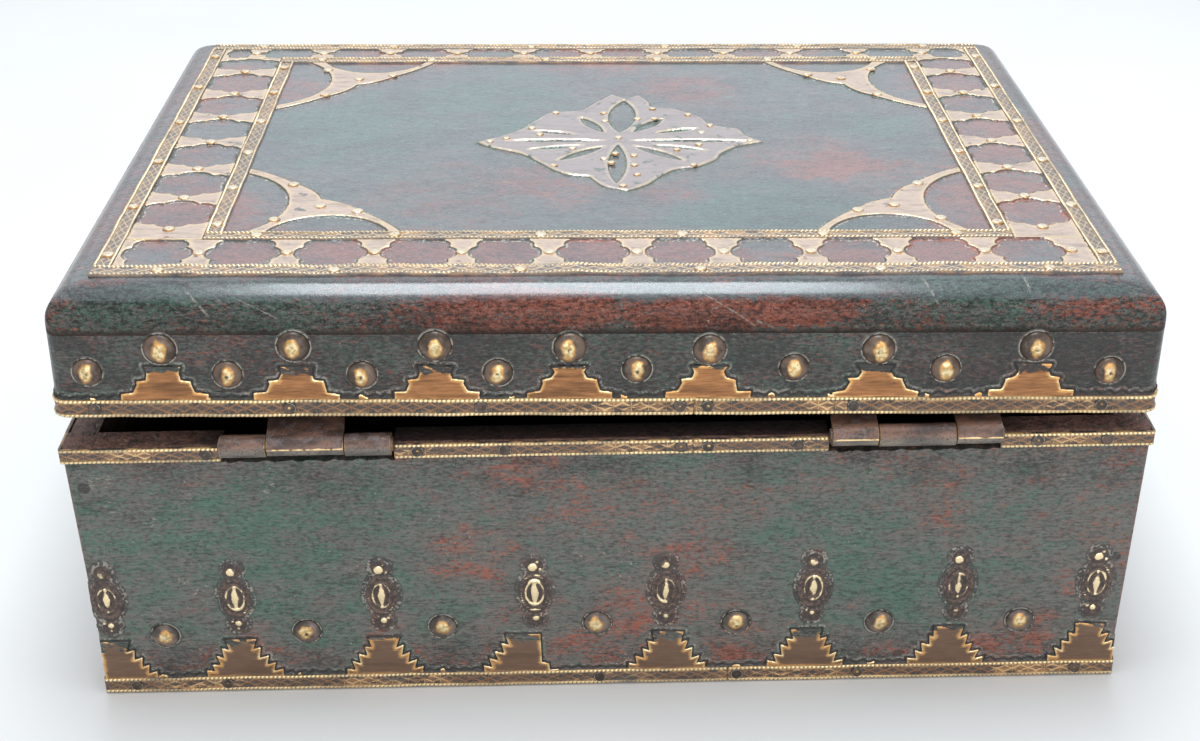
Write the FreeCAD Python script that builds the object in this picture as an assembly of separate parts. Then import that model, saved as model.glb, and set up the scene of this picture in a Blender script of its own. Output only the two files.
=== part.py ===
import FreeCAD, Part
import math
import os

from FreeCAD import Placement, Rotation, Vector

# A small wooden table chest with a hinged lid, dressed in nailed sheet brass.
# Millimetres. The hinged back faces -Y, +X runs to its right, +Z is up, and the
# origin is on the table under the middle of the chest.

# Chest carcass: four walls that lean in towards the foot, and a floor between them
chest_length = 278.2
chest_depth = 210.0
chest_height = 78.6
chest_lean = 1.45
wall_thickness = 8.0
floor_thickness = 7.0

# Lid: a low frame of rails under one thick board with a rolled-over top edge
lid_rail_height = 22.6
lid_rail_thickness = 8.0
lid_board_thickness = 11.4
lid_edge_radius = 9.4
lid_corner_radius = 2.0

# How the closed lid sits: lifted behind by the hinges, resting on one front corner
lid_back_gap = 7.5
lid_skew_angle = 0.84
lid_rest_clearance = 0.15

# Brass bands with beaded edges, nailed round the rims and on the lid's top
band_thickness = 0.9
foot_band_width = 4.8
foot_band_rise = 0.3
rim_band_width = 4.2
lid_edge_band_width = 4.9
lid_top_band_width = 4.7
band_seam_gap = 0.15
band_corner_gap = 0.05

# Thin sheet brass under the bands and between them
sheet_thickness = 0.5
crest_strip_height = 0.7
crest_point_pitch = 3.1
lid_crest_height = 9.2
lid_crest_half_width = 10.9
chest_crest_height = 12.3
chest_crest_half_width = 10.4

# Pierced border, corner plates and medallion on the lid's top
top_margin = 10.2
border_width = 17.6
border_side_width = 18.8
inner_frame_shift_x = 0.9
inner_frame_shift_y = 4.0
fret_pitch = 22.3
fret_side_pitch = 21.9
fret_waist_width = 3.8
fret_rim = 0.7
fret_gap = 0.1
fret_front_shift = 7.6
fret_back_shift = -2.0
corner_plate_leg = 45.8
corner_plate_gap = 0.3
medallion_half_length = 42.0
medallion_half_depth = 41.0
medallion_shift_x = 5.4
medallion_shift_y = 1.6

# Repousse plaques above the chest's crest
plaque_height = 22.6
plaque_width = 8.8
plaque_end_radius = 2.5
plaque_boss_radius = 1.5
plaque_boss_rise = 0.5
plaque_centre_height = 31.4

# Domed studs, trim pins and the carpenter's nails
lid_stud_radius = 4.1
lid_stud_rise = 2.2
lid_low_stud_radius = 3.7
lid_low_stud_rise = 2.0
chest_stud_radius = 3.7
chest_stud_rise = 1.8
stud_shank_radius = 0.8
stud_shank_length = 5.0
lid_stud_height = 18.9
lid_low_stud_height = 12.4
chest_stud_height = 19.9
pin_head_radius = 1.45
pin_head_rise = 0.7
bead_head_radius = 0.9
bead_head_rise = 0.6
nail_head_radius = 1.6
nail_head_thickness = 0.6
nail_shank_radius = 0.9
nail_length = 20.0
long_nail_length = 28.0
nail_edge_margin = 12.0

# Rolled barrel hinges, let into notches in the back wall
hinge_left_centre = -76.7
hinge_right_centre = 78.4
hinge_length = 43.2
hinge_end_knuckle = 11.6
knuckle_gap = 0.3
barrel_radius = 3.1
hinge_pin_radius = 1.3
hinge_pin_head_radius = 1.9
hinge_pin_head_thickness = 0.5
hinge_running_clearance = 0.06
barrel_rise = 0.5
leaf_thickness = 0.9
leaf_drop = 13.0
leaf_clearance = 0.4
leaf_wall_gap = 0.05
notch_slack = 1.3
notch_end_slack = 0.5
leaf_nail_length = 5.5
leaf_nail_rise = 0.4
leaf_nail_margin = 6.0

# Places along a face, as shares of its half length, set by eye as on the real chest
lid_crest_shares = (-0.797, -0.560, -0.309, -0.069, 0.180, 0.483, 0.765)
lid_low_stud_shares = (-0.930, -0.681, -0.441, -0.198, 0.051, 0.333, 0.606, 0.903)
chest_crest_shares = (-0.962, -0.716, -0.442, -0.174, 0.111, 0.383, 0.659, 0.936)
chest_plaque_shares = (-0.962, -0.717, -0.437, -0.144, 0.108, 0.391, 0.670, 0.936)
chest_stud_shares = (-0.861, -0.587, -0.324, -0.025, 0.244, 0.523, 0.797)
side_crest_shares = (-0.80, -0.40, 0.0, 0.40, 0.80)
side_low_stud_shares = (-0.60, -0.20, 0.20, 0.60)
lid_edge_pin_shares = (-0.925, -0.575, -0.230, 0.130, 0.180, 0.445, 0.896)
rim_pin_shares = (-0.736, -0.350, -0.190, 0.133, 0.183, 0.348, 0.789, 0.917)
foot_pin_shares = (-0.931, -0.753, -0.021, 0.249, 0.487, 0.918)
side_pin_shares = (-0.92, -0.46, 0.0, 0.46, 0.92)
top_pin_shares = (-0.87, -0.53, -0.17, 0.18, 0.53, 0.86)
lid_edge_seam_share = 0.155
rim_seam_share = 0.155
foot_seam_share = 0.231

# Half outlines of one crest pyramid: (share of half width, share of height)
lid_pyramid_shares = (
    (0.98, 0.0), (1.0, 0.16), (0.70, 0.21), (0.61, 0.47),
    (0.64, 0.55), (0.40, 0.59), (0.34, 0.78), (0.41, 0.97),
)
chest_pyramid_shares = (
    (1.0, 0.0), (1.0, 0.14), (0.70, 0.19), (0.73, 0.42),
    (0.52, 0.47), (0.56, 0.68), (0.38, 0.72), (0.46, 1.0),
)

# One quarter of a pierced opening: end, via and end of its arcs
fret_arc_shares = (
    ((1.0, 0.0), (0.92, 0.30), (0.74, 0.42)),
    ((0.74, 0.42), (0.72, 0.80), (0.52, 0.96)),
    ((0.52, 0.96), (0.25, 1.0), (0.0, 0.90)),
)

# A corner plate, as shares of its leg, with the corner at 0, 0
plate_field_shares = (
    ((1.0, 0.0), (0.875, 0.175), (0.727, 0.325)),
    ((0.727, 0.325), (0.617, 0.435), (0.492, 0.492)),
    ((0.492, 0.492), (0.435, 0.617), (0.325, 0.727)),
    ((0.325, 0.727), (0.175, 0.875), (0.0, 1.0)),
)
plate_side_bite_shares = ((0.0, 0.93), (0.306, 0.50), (0.125, 0.0))
plate_foot_bite_shares = ((0.225, 0.0), (0.52, 0.24), (0.94, 0.0))
plate_pin_shares = ((0.26, 0.175), (0.727, 0.30), (0.30, 0.727), (0.50, 0.38))

# One quarter of the medallion's edge and its petals, as shares of its half sizes
medallion_arc_shares = (
    ((1.0, 0.0), (0.77, 0.20), (0.57, 0.48)),
    ((0.57, 0.48), (0.55, 0.55), (0.48, 0.57)),
    ((0.48, 0.57), (0.20, 0.77), (0.0, 1.0)),
)
petal_start_share = 0.12
long_petal_end_share = 0.86
long_petal_width_share = 0.13
broad_petal_width_share = 0.21
slant_petal_end_share = 0.56
slant_petal_width_share = 0.11
bead_ring_shares = ((0.50, 22.5, 8), (0.93, 0.0, 4), (0.68, 45.0, 4), (0.27, 22.5, 8))

# Turns used to stand things up and to go round the chest
quarter_turn = 90.0
half_turn = 180.0
full_turn = 360.0
overrun = 5.0

# Worked-out sizes
lean_angle = math.degrees(math.atan(chest_lean / chest_height))
lid_height = lid_rail_height + lid_board_thickness
skew_drop = chest_length / 2 * math.sin(math.radians(lid_skew_angle))
lid_tilt_angle = math.degrees(
    math.asin((lid_back_gap - skew_drop - lid_rest_clearance) / chest_depth)
)
barrel_y = -(chest_depth / 2 + band_thickness)
barrel_z = chest_height + barrel_rise
notch_floor = barrel_z - barrel_radius - notch_slack

# The lid's own origin is under the middle of its bottom edge; it turns about its
# back edge, front down by the tilt and left end up by the skew.
lid_turn = Rotation(Vector(1, 0, 0), -lid_tilt_angle).multiply(
    Rotation(Vector(0, 1, 0), lid_skew_angle)
)
lid_hang = Vector(0, -chest_depth / 2, chest_height + lid_back_gap)
lid_pose = Placement(lid_hang, lid_turn).multiply(
    Placement(Vector(0, chest_depth / 2, 0), Rotation())
)

# Each side of the box: its turn about Z, its half length and its half distance
sides = {
    "back": (0.0, chest_length / 2, chest_depth / 2),
    "right": (quarter_turn, chest_depth / 2, chest_length / 2),
    "front": (half_turn, chest_length / 2, chest_depth / 2),
    "left": (half_turn + quarter_turn, chest_depth / 2, chest_length / 2),
}
long_sides = ("back", "front")


def save(name, shape, on_lid=False):
    """Writes one sub-part, moved to where the closed lid holds it."""
    if on_lid:
        shape = shape.transformed(lid_pose.toMatrix(), True)
    shape.exportStep("parts/" + name + ".step")


def placed(shape, placement):
    """A copy of the shape, baked into the given place."""
    return shape.transformed(placement.toMatrix(), True)


def block(low, high):
    """A box between two corners."""
    size = Vector(*high) - Vector(*low)
    return Part.makeBox(size.x, size.y, size.z, Vector(*low))


def flat_plate(wire, thickness):
    """A closed flat outline in the face's plane, thickened outwards."""
    return Part.Face(wire).extrude(Vector(0, 0, thickness))


def polygon(points):
    """A closed outline through (u, v) points."""
    corners = [Vector(u, v, 0) for u, v in points]
    return Part.makePolygon(corners + corners[:1])


def arc(start, via, end):
    """The circular edge through three (u, v) points."""
    return Part.Arc(Vector(*start, 0), Vector(*via, 0), Vector(*end, 0)).toShape()


def line(start, end):
    """The straight edge between two (u, v) points."""
    return Part.LineSegment(Vector(*start, 0), Vector(*end, 0)).toShape()


def tapered_block(outline_at, z_low, z_high):
    """A block whose rectangle (x0, x1, y0, y1) changes evenly with height."""
    rings = []
    for z in (z_low, z_high):
        x0, x1, y0, y1 = outline_at(z)
        rings.append([Vector(x0, y0, z), Vector(x1, y0, z), Vector(x1, y1, z), Vector(x0, y1, z)])
    low, high = rings
    loops = [low, high]
    for i in range(len(low)):
        loops.append([low[i], low[i - 1], high[i - 1], high[i]])
    faces = [Part.Face(Part.makePolygon(loop + loop[:1])) for loop in loops]
    solid = Part.Solid(Part.Shell(faces))
    if solid.Volume < 0:
        solid.reverse()
    return solid


def wall_frame(side, lid=False):
    """Where a face's flat work goes: u along it, v up it, w out of it."""
    turn, half_length, distance = sides[side]
    lean = 0.0 if lid else lean_angle
    foot = distance if lid else distance - chest_lean
    stand = Placement(Vector(0, -foot, 0), Rotation(Vector(1, 0, 0), quarter_turn + lean))
    return Placement(Vector(), Rotation(Vector(0, 0, 1), turn)).multiply(stand)


def half_length_at(side, height, lid=False):
    """Half the length of a face at a height; the chest's walls come in lower down."""
    half_length = sides[side][1]
    return half_length if lid else half_length - chest_lean * (1 - height / chest_height)


def revolved(profile):
    """A closed (radius, height) profile spun about the w axis."""
    wire = Part.Wire(profile)
    return Part.Face(wire).revolve(Vector(), Vector(0, 0, 1), full_turn)


def edge_rz(start, end):
    """A straight profile edge between two (radius, height) points."""
    return Part.LineSegment(Vector(start[0], 0, start[1]), Vector(end[0], 0, end[1])).toShape()


def domed_nail(head_radius, head_rise, shank_radius=0.0, shank_length=0.0):
    """A nail with a low domed head on the surface and its shank below."""
    dome_radius = (head_radius ** 2 + head_rise ** 2) / (2 * head_rise)
    spread = math.asin(head_radius / dome_radius) / 2
    via = Vector(
        dome_radius * math.sin(spread), 0, head_rise - dome_radius * (1 - math.cos(spread))
    )
    dome = Part.Arc(Vector(head_radius, 0, 0), via, Vector(0, 0, head_rise)).toShape()
    if shank_length:
        point = -shank_length - 2 * shank_radius
        edges = [
            dome,
            edge_rz((0, head_rise), (0, point)),
            edge_rz((0, point), (shank_radius, -shank_length)),
            edge_rz((shank_radius, -shank_length), (shank_radius, 0)),
            edge_rz((shank_radius, 0), (head_radius, 0)),
        ]
    else:
        edges = [dome, edge_rz((0, head_rise), (0, 0)), edge_rz((0, 0), (head_radius, 0))]
    return revolved(edges)


def flush_nail(length):
    """A carpenter's nail, its flat head let in flush with the wood."""
    shank_end = -length + 2 * nail_shank_radius
    corners = [
        (0, 0), (nail_head_radius, 0), (nail_head_radius, -nail_head_thickness),
        (nail_shank_radius, -nail_head_thickness), (nail_shank_radius, shank_end), (0, -length),
    ]
    return revolved([edge_rz(corners[i - 1], corners[i]) for i in range(len(corners))])


def stuck_at(nail, u, v, w=0.0):
    """A copy of a nail moved to a place on its face."""
    copy = nail.copy()
    copy.translate(Vector(u, v, w))
    return copy


def group(shapes):
    """Separate solids kept together as one sub-part."""
    return Part.makeCompound(shapes)


def bored(board, nails):
    """The board with a tight hole for every nail that enters it."""
    return board.cut(nails).removeSplitter()


def carcass_outline(height):
    """Half length and half depth of the chest at a height."""
    inset = chest_lean * (1 - height / chest_height)
    return chest_length / 2 - inset, chest_depth / 2 - inset


def chest_wall(side):
    """One chest wall; the long ones cover the ends of the short ones."""
    def outline_at(height):
        half_x, half_y = carcass_outline(height)
        inner_x = half_x - wall_thickness
        inner_y = half_y - wall_thickness
        return {
            "back": (-half_x, half_x, -half_y, -inner_y),
            "front": (-half_x, half_x, inner_y, half_y),
            "left": (-half_x, -inner_x, -inner_y, inner_y),
            "right": (inner_x, half_x, -inner_y, inner_y),
        }[side]
    return tapered_block(outline_at, 0, chest_height)


def chest_floor():
    """The floor board, let in between the four walls."""
    def outline_at(height):
        half_x, half_y = carcass_outline(height)
        inner_x = half_x - wall_thickness
        inner_y = half_y - wall_thickness
        return -inner_x, inner_x, -inner_y, inner_y
    return tapered_block(outline_at, 0, floor_thickness)


def hinge_notch(centre):
    """The housing cut down from the rim for one hinge."""
    half = hinge_length / 2 + notch_end_slack
    return block(
        (centre - half, -chest_depth / 2 - overrun, notch_floor),
        (centre + half, -chest_depth / 2 + wall_thickness + overrun, chest_height + overrun),
    )


def corner_nails(lid):
    """Nails through the long boards into the ends of the short ones."""
    heights = [lid_rail_height / 4, 3 * lid_rail_height / 4]
    if not lid:
        heights = [nail_edge_margin * 1.5, chest_height / 2, chest_height - nail_edge_margin]
    thickness = lid_rail_thickness if lid else wall_thickness
    nails = []
    for side in long_sides:
        frame = wall_frame(side, lid)
        for height in heights:
            reach = half_length_at(side, height, lid) - thickness / 2
            for end in (-reach, reach):
                nails.append(placed(stuck_at(flush_nail(nail_length), end, height), frame))
    return nails


def floor_nails():
    """Nails through the long walls into the edges of the floor board."""
    nails = []
    for side in long_sides:
        for step in (-2, -1, 0, 1, 2):
            nail = stuck_at(
                flush_nail(nail_length), step * chest_length / 6, floor_thickness / 2
            )
            nails.append(placed(nail, wall_frame(side)))
    return nails


def board_nails():
    """Nails driven up through the lid's rails into its thick board."""
    up = Rotation(Vector(1, 0, 0), half_turn)
    middle = lid_rail_thickness / 2
    nails = []
    for sign in (-1, 1):
        for step in (-1, 0, 1):
            at = Vector(step * chest_length / 5, sign * (chest_depth / 2 - middle), 0)
            nails.append(placed(flush_nail(long_nail_length), Placement(at, up)))
        for step in (-1, 1):
            at = Vector(sign * (chest_length / 2 - middle), step * chest_depth / 8, 0)
            nails.append(placed(flush_nail(long_nail_length), Placement(at, up)))
    return nails


def lid_rail(side):
    """One straight rail under the lid's board."""
    half_x = chest_length / 2
    half_y = chest_depth / 2
    inner_x = half_x - lid_rail_thickness
    inner_y = half_y - lid_rail_thickness
    low, high = {
        "back": ((-half_x, -half_y), (half_x, -inner_y)),
        "front": ((-half_x, inner_y), (half_x, half_y)),
        "left": ((-half_x, -inner_y), (-inner_x, inner_y)),
        "right": ((inner_x, -inner_y), (half_x, inner_y)),
    }[side]
    return block((*low, 0), (*high, lid_rail_height))


def lid_board():
    """The lid's board, its top edges rolled over and its corners slightly worn."""
    half_x = chest_length / 2
    half_y = chest_depth / 2
    board = block((-half_x, -half_y, lid_rail_height), (half_x, half_y, lid_height))
    top_edges = [e for e in board.Edges if e.CenterOfMass.z > lid_height - lid_corner_radius]
    board = board.makeFillet(lid_edge_radius, top_edges)
    plan = block((-half_x, -half_y, 0), (half_x, half_y, lid_height + overrun))
    upright = [e for e in plan.Edges if abs(e.CenterOfMass.z - (lid_height + overrun) / 2) < lid_height / 4]
    return board.common(plan.makeFillet(lid_corner_radius, upright)).Solids[0]


def band_run(side, v_low, width, cuts, lid=False):
    """A nailed band round one face, cut into lengths at the given places."""
    over = band_thickness if side in long_sides else -band_corner_gap
    ends_low = half_length_at(side, v_low, lid) + over
    ends_high = half_length_at(side, v_low + width, lid) + over
    stops = [None] + list(cuts) + [None]
    lengths = []
    for start, stop in zip(stops[:-1], stops[1:]):
        left_low, left_high = (-ends_low, -ends_high) if start is None else (start[1],) * 2
        right_low, right_high = (ends_low, ends_high) if stop is None else (stop[0],) * 2
        outline = polygon([
            (left_low, v_low), (right_low, v_low),
            (right_high, v_low + width), (left_high, v_low + width),
        ])
        lengths.append(placed(flat_plate(outline, band_thickness), wall_frame(side, lid)))
    return group(lengths)


def seam(side, share):
    """The narrow joint between two lengths of one band."""
    middle = share * sides[side][1]
    return (middle - band_seam_gap / 2, middle + band_seam_gap / 2)


def notch_break(centre):
    """The stretch where a band stops for a hinge notch."""
    half = hinge_length / 2 + notch_end_slack
    return (centre - half, centre + half)


def crest(side, v_low, shares, outline_shares, half_width, height, lid=False):
    """One sheet of stepped pyramids on a strip with small cut points between."""
    half_face = sides[side][1]
    reach = half_length_at(side, v_low, lid)
    points = [(-reach, v_low)]
    cursor = -reach
    pyramids = [share * half_face for share in shares]
    for centre in pyramids + [None]:
        stop = reach if centre is None else centre - half_width
        count = int((stop - cursor) / crest_point_pitch)
        for i in range(count):
            start = cursor + (stop - cursor) * i / count
            step = (stop - cursor) / count
            points.append((start, v_low + crest_strip_height / 2))
            points.append((start + step / 2, v_low + crest_strip_height))
        if centre is None:
            break
        rising = [(-u * half_width, t * height) for u, t in outline_shares]
        falling = [(-u, t) for u, t in reversed(rising)]
        points += [(centre + u, v_low + max(t, crest_strip_height / 2)) for u, t in rising + falling]
        cursor = centre + half_width
    points += [(reach, v_low + crest_strip_height / 2), (reach, v_low)]
    sheet = flat_plate(polygon(points), sheet_thickness)
    face_end = block(
        (-reach, v_low - overrun, -overrun), (reach, v_low + height + overrun, overrun)
    )
    return placed(sheet.common(face_end).Solids[0], wall_frame(side, lid))


def plaque():
    """One pointed oval plaque with a round lobe at each end and a raised shuttle."""
    half_height = plaque_height / 2 - 2 * plaque_end_radius
    half_width = plaque_width / 2
    tip = half_height + plaque_end_radius / 2
    oval = Part.Wire([
        arc((0, -tip), (half_width, 0), (0, tip)),
        arc((0, tip), (-half_width, 0), (0, -tip)),
    ])
    plate = flat_plate(oval, sheet_thickness)
    lobe_centre = plaque_height / 2 - plaque_end_radius
    for sign in (-1, 1):
        lobe = Part.makeCylinder(
            plaque_end_radius, sheet_thickness, Vector(0, sign * lobe_centre, 0)
        )
        bead = domed_nail(plaque_boss_radius, plaque_boss_rise)
        plate = plate.fuse(lobe).fuse(stuck_at(bead, 0, sign * lobe_centre, sheet_thickness))
    shuttle = Part.Wire([
        arc((0, -half_height / 2), (plaque_boss_radius, 0), (0, half_height / 2)),
        arc((0, half_height / 2), (-plaque_boss_radius, 0), (0, -half_height / 2)),
    ])
    return plate.fuse(flat_plate(shuttle, sheet_thickness + plaque_boss_rise)).removeSplitter()


def mirrored_arcs(arcs, size_u, size_v):
    """A closed wire from one quarter's arcs, mirrored into the other three."""
    def scaled(points, flip_u, flip_v):
        return [(flip_u * u * size_u, flip_v * v * size_v) for u, v in points]
    edges = [arc(*scaled(points, 1, 1)) for points in arcs]
    edges += [arc(*scaled(points[::-1], -1, 1)) for points in arcs[::-1]]
    edges += [arc(*scaled(points, -1, -1)) for points in arcs]
    edges += [arc(*scaled(points[::-1], 1, -1)) for points in arcs[::-1]]
    return Part.Wire(edges)


def top_rectangles():
    """Low and high corners of the outer frame, the border and the inner frame."""
    outer_x = chest_length / 2 - top_margin + fret_gap
    outer_y = chest_depth / 2 - top_margin
    width = lid_top_band_width
    border = (
        (-outer_x + width, -outer_y + width), (outer_x - width, outer_y - width)
    )
    inner_x = outer_x - width - border_side_width
    inner_y = outer_y - width - border_width
    inner = (
        (-inner_x + inner_frame_shift_x, -inner_y),
        (inner_x + inner_frame_shift_x, inner_y + 2 * inner_frame_shift_y),
    )
    return ((-outer_x, -outer_y), (outer_x, outer_y)), border, inner


def frame_bands(low, high):
    """Four straight bands round a rectangle; the long ones run through."""
    width = lid_top_band_width
    (x0, y0), (x1, y1) = low, high
    z0 = lid_height
    z1 = lid_height + band_thickness
    return {
        "back": block((x0, y0, z0), (x1, y0 + width, z1)),
        "front": block((x0, y1 - width, z0), (x1, y1, z1)),
        "left": block((x0, y0 + width, z0), (x0 + width, y1 - width, z1)),
        "right": block((x1 - width, y0 + width, z0), (x1, y1 - width, z1)),
    }


def fret_strip(length, width, waists):
    """A pierced strip along u: a barbed opening between each pair of waists."""
    sheet = block((-length / 2, -width / 2, 0), (length / 2, width / 2, sheet_thickness))
    half_height = width / 2 - fret_rim
    stops = [-length / 2 + fret_rim - fret_waist_width / 2] + waists
    stops.append(length / 2 - fret_rim + fret_waist_width / 2)
    for start, stop in zip(stops[:-1], stops[1:]):
        half_length = (stop - start - fret_waist_width) / 2
        if half_length < fret_waist_width:
            continue
        opening = mirrored_arcs(fret_arc_shares, half_length, half_height)
        cutter = flat_plate(opening, sheet_thickness + 2 * overrun)
        sheet = sheet.cut(stuck_at(cutter, (start + stop) / 2, 0, -overrun))
    return sheet


def waists_along(length, pitch, shift):
    """Places of the waists that fit along a strip, counted from its middle."""
    steps = int(length / pitch)
    places = [shift + i * pitch for i in range(-steps, steps + 1)]
    return [place for place in places if abs(place) < length / 2 - fret_rim - fret_waist_width / 2]


def fret_borders():
    """The four pierced strips, each with its waists in the lid's own x and y."""
    outer, (low, high), (inner_low, inner_high) = top_rectangles()
    strips = {}
    length = high[0] - low[0] - 2 * fret_gap
    for name, y0, y1, shift in (
        ("back", low[1], inner_low[1], fret_front_shift),
        ("front", inner_high[1], high[1], fret_back_shift),
    ):
        waists = waists_along(length, fret_pitch, shift)
        at = Vector((low[0] + high[0]) / 2, (y0 + y1) / 2, lid_height)
        strip = fret_strip(length, y1 - y0 - 2 * fret_gap, waists)
        strips[name] = (placed(strip, Placement(at, Rotation())), [(at.x + u, at.y) for u in waists])
    length = inner_high[1] - inner_low[1]
    for name, x0, x1 in (("left", low[0], inner_low[0]), ("right", inner_high[0], high[0])):
        waists = waists_along(length, fret_side_pitch, -inner_frame_shift_y)
        at = Vector((x0 + x1) / 2, (inner_low[1] + inner_high[1]) / 2, lid_height)
        strip = fret_strip(length, x1 - x0 - 2 * fret_gap, waists)
        turn = Placement(at, Rotation(Vector(0, 0, 1), quarter_turn))
        strips[name] = (placed(strip, turn), [(at.x, at.y + u) for u in waists])
    return strips


def corner_plate():
    """A three-armed plate that fills one corner, drawn from the corner outwards."""
    leg = corner_plate_leg

    def scaled(points):
        return [(u * leg, v * leg) for u, v in points]
    side_bite = scaled(plate_side_bite_shares)
    foot_bite = scaled(plate_foot_bite_shares)
    edges = [arc(*scaled(points)) for points in plate_field_shares]
    edges.append(line((0, leg), side_bite[0]))
    edges.append(arc(*side_bite))
    edges.append(line(side_bite[2], foot_bite[0]))
    edges.append(arc(*foot_bite))
    edges.append(line(foot_bite[2], (leg, 0)))
    return flat_plate(Part.Wire(edges), sheet_thickness)


def corner_places():
    """The four inner corners, each as a point and the way its legs run."""
    outer, border, (low, high) = top_rectangles()
    inset = lid_top_band_width + corner_plate_gap
    return [
        ((low[0] + inset, low[1] + inset), (1, 1)),
        ((high[0] - inset, low[1] + inset), (-1, 1)),
        ((low[0] + inset, high[1] - inset), (1, -1)),
        ((high[0] - inset, high[1] - inset), (-1, -1)),
    ]


def corner_plates():
    """The corner plate, mirrored into all four corners of the inner frame."""
    plates = []
    for (x, y), (way_x, way_y) in corner_places():
        plate = corner_plate()
        if way_x < 0:
            plate = plate.mirror(Vector(), Vector(1, 0, 0))
        if way_y < 0:
            plate = plate.mirror(Vector(), Vector(0, 1, 0))
        plates.append(placed(plate, Placement(Vector(x, y, lid_height), Rotation())))
    return plates


def petal(start, end, width):
    """A leaf-shaped opening along u, pointed at both ends."""
    middle = (start + end) / 2
    wire = Part.Wire([
        arc((start, 0), (middle, width / 2), (end, 0)),
        arc((end, 0), (middle, -width / 2), (start, 0)),
    ])
    return stuck_at(flat_plate(wire, sheet_thickness + 2 * overrun), 0, 0, -overrun)


def medallion():
    """The scalloped lozenge with its eight pierced petals."""
    reach = medallion_half_length
    sheet = flat_plate(
        mirrored_arcs(medallion_arc_shares, reach, medallion_half_depth), sheet_thickness
    )
    start = petal_start_share * reach
    for turn in range(8):
        if turn % 4 == 0:
            cutter = petal(start, long_petal_end_share * reach, long_petal_width_share * reach)
        elif turn % 2 == 0:
            cutter = petal(start, long_petal_end_share * reach, broad_petal_width_share * reach)
        else:
            cutter = petal(
                start * 2, slant_petal_end_share * reach, slant_petal_width_share * reach
            )
        spun = Placement(Vector(), Rotation(Vector(0, 0, 1), turn * quarter_turn / 2))
        sheet = sheet.cut(placed(cutter, spun))
    at = Vector(medallion_shift_x, medallion_shift_y, lid_height)
    return placed(sheet, Placement(at, Rotation()))


def medallion_beads():
    """Small round-headed pins in rings over the medallion, with one in its middle."""
    bead = domed_nail(bead_head_radius, bead_head_rise)
    top = lid_height + sheet_thickness
    beads = [stuck_at(bead, medallion_shift_x, medallion_shift_y, top)]
    for reach_share, start, count in bead_ring_shares:
        for i in range(count):
            angle = math.radians(start + i * full_turn / count)
            u = medallion_shift_x + reach_share * medallion_half_length * math.cos(angle)
            v = medallion_shift_y + reach_share * medallion_half_depth * math.sin(angle)
            beads.append(stuck_at(bead, u, v, top))
    return beads


def band_pins(side, shares, height, lid=False):
    """Round-headed pins along one band."""
    pin = domed_nail(pin_head_radius, pin_head_rise)
    frame = wall_frame(side, lid)
    half = sides[side][1]
    return [placed(stuck_at(pin, s * half, height, band_thickness), frame) for s in shares]


def studs(side, shares, height, radius, rise, lid=False):
    """A row of domed studs with their shanks in the wood."""
    stud = domed_nail(radius, rise, stud_shank_radius, stud_shank_length)
    frame = wall_frame(side, lid)
    half = sides[side][1]
    return [placed(stuck_at(stud, s * half, height), frame) for s in shares]


def top_pins(strips):
    """Pins in the waists of the border, along both frames and in the corner plates."""
    pin = domed_nail(pin_head_radius, pin_head_rise)
    sheet_top = lid_height + sheet_thickness
    band_top = lid_height + band_thickness
    pins = []
    for strip, waists in strips.values():
        pins += [stuck_at(pin, x, y, sheet_top) for x, y in waists]
    outer, border, inner = top_rectangles()
    middle = lid_top_band_width / 2
    for (x0, y0), (x1, y1) in (outer, inner):
        half_x = (x1 - x0) / 2
        half_y = (y1 - y0) / 2
        for share in top_pin_shares:
            for y in (y0 + middle, y1 - middle):
                pins.append(stuck_at(pin, (x0 + x1) / 2 + share * half_x, y, band_top))
            for x in (x0 + middle, x1 - middle):
                pins.append(stuck_at(pin, x, (y0 + y1) / 2 + share * half_y, band_top))
    for (x, y), (way_x, way_y) in corner_places():
        for u, v in plate_pin_shares:
            at_x = x + way_x * u * corner_plate_leg
            at_y = y + way_y * v * corner_plate_leg
            pins.append(stuck_at(pin, at_x, at_y, sheet_top))
    return pins


def knuckle(start, end, bore_radius):
    """One rolled knuckle on the hinge axis, bored for the pin."""
    along = Vector(1, 0, 0)
    at = Vector(start, barrel_y, barrel_z)
    roll = Part.makeCylinder(barrel_radius, end - start, at, along)
    return roll.cut(Part.makeCylinder(bore_radius, end - start, at, along))


def bent_strip(path, thickness, start, end):
    """A strip of sheet along x from start to end, bent along a (y, z) path."""
    normals = []
    for (y0, z0), (y1, z1) in zip(path[:-1], path[1:]):
        reach = math.hypot(y1 - y0, z1 - z0)
        normals.append((-(z1 - z0) / reach, (y1 - y0) / reach))
    left, right = [], []
    for i, (y, z) in enumerate(path):
        n0 = normals[max(i - 1, 0)]
        n1 = normals[min(i, len(normals) - 1)]
        scale = thickness / (1 + n0[0] * n1[0] + n0[1] * n1[1])
        offset = ((n0[0] + n1[0]) / 2 * scale, (n0[1] + n1[1]) / 2 * scale)
        left.append(Vector(start, y + offset[0], z + offset[1]))
        right.append(Vector(start, y - offset[0], z - offset[1]))
    ring = left + right[::-1]
    return Part.Face(Part.makePolygon(ring + ring[:1])).extrude(Vector(end - start, 0, 0))


def knuckle_spans(centre, lid_in_middle):
    """The x ranges of a hinge's chest knuckles and of its lid knuckles."""
    left = centre - hinge_length / 2
    right = centre + hinge_length / 2
    ends = [(left, left + hinge_end_knuckle), (right - hinge_end_knuckle, right)]
    middle = [(left + hinge_end_knuckle + knuckle_gap, right - hinge_end_knuckle - knuckle_gap)]
    return (ends, middle) if lid_in_middle else (middle, ends)


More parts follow.
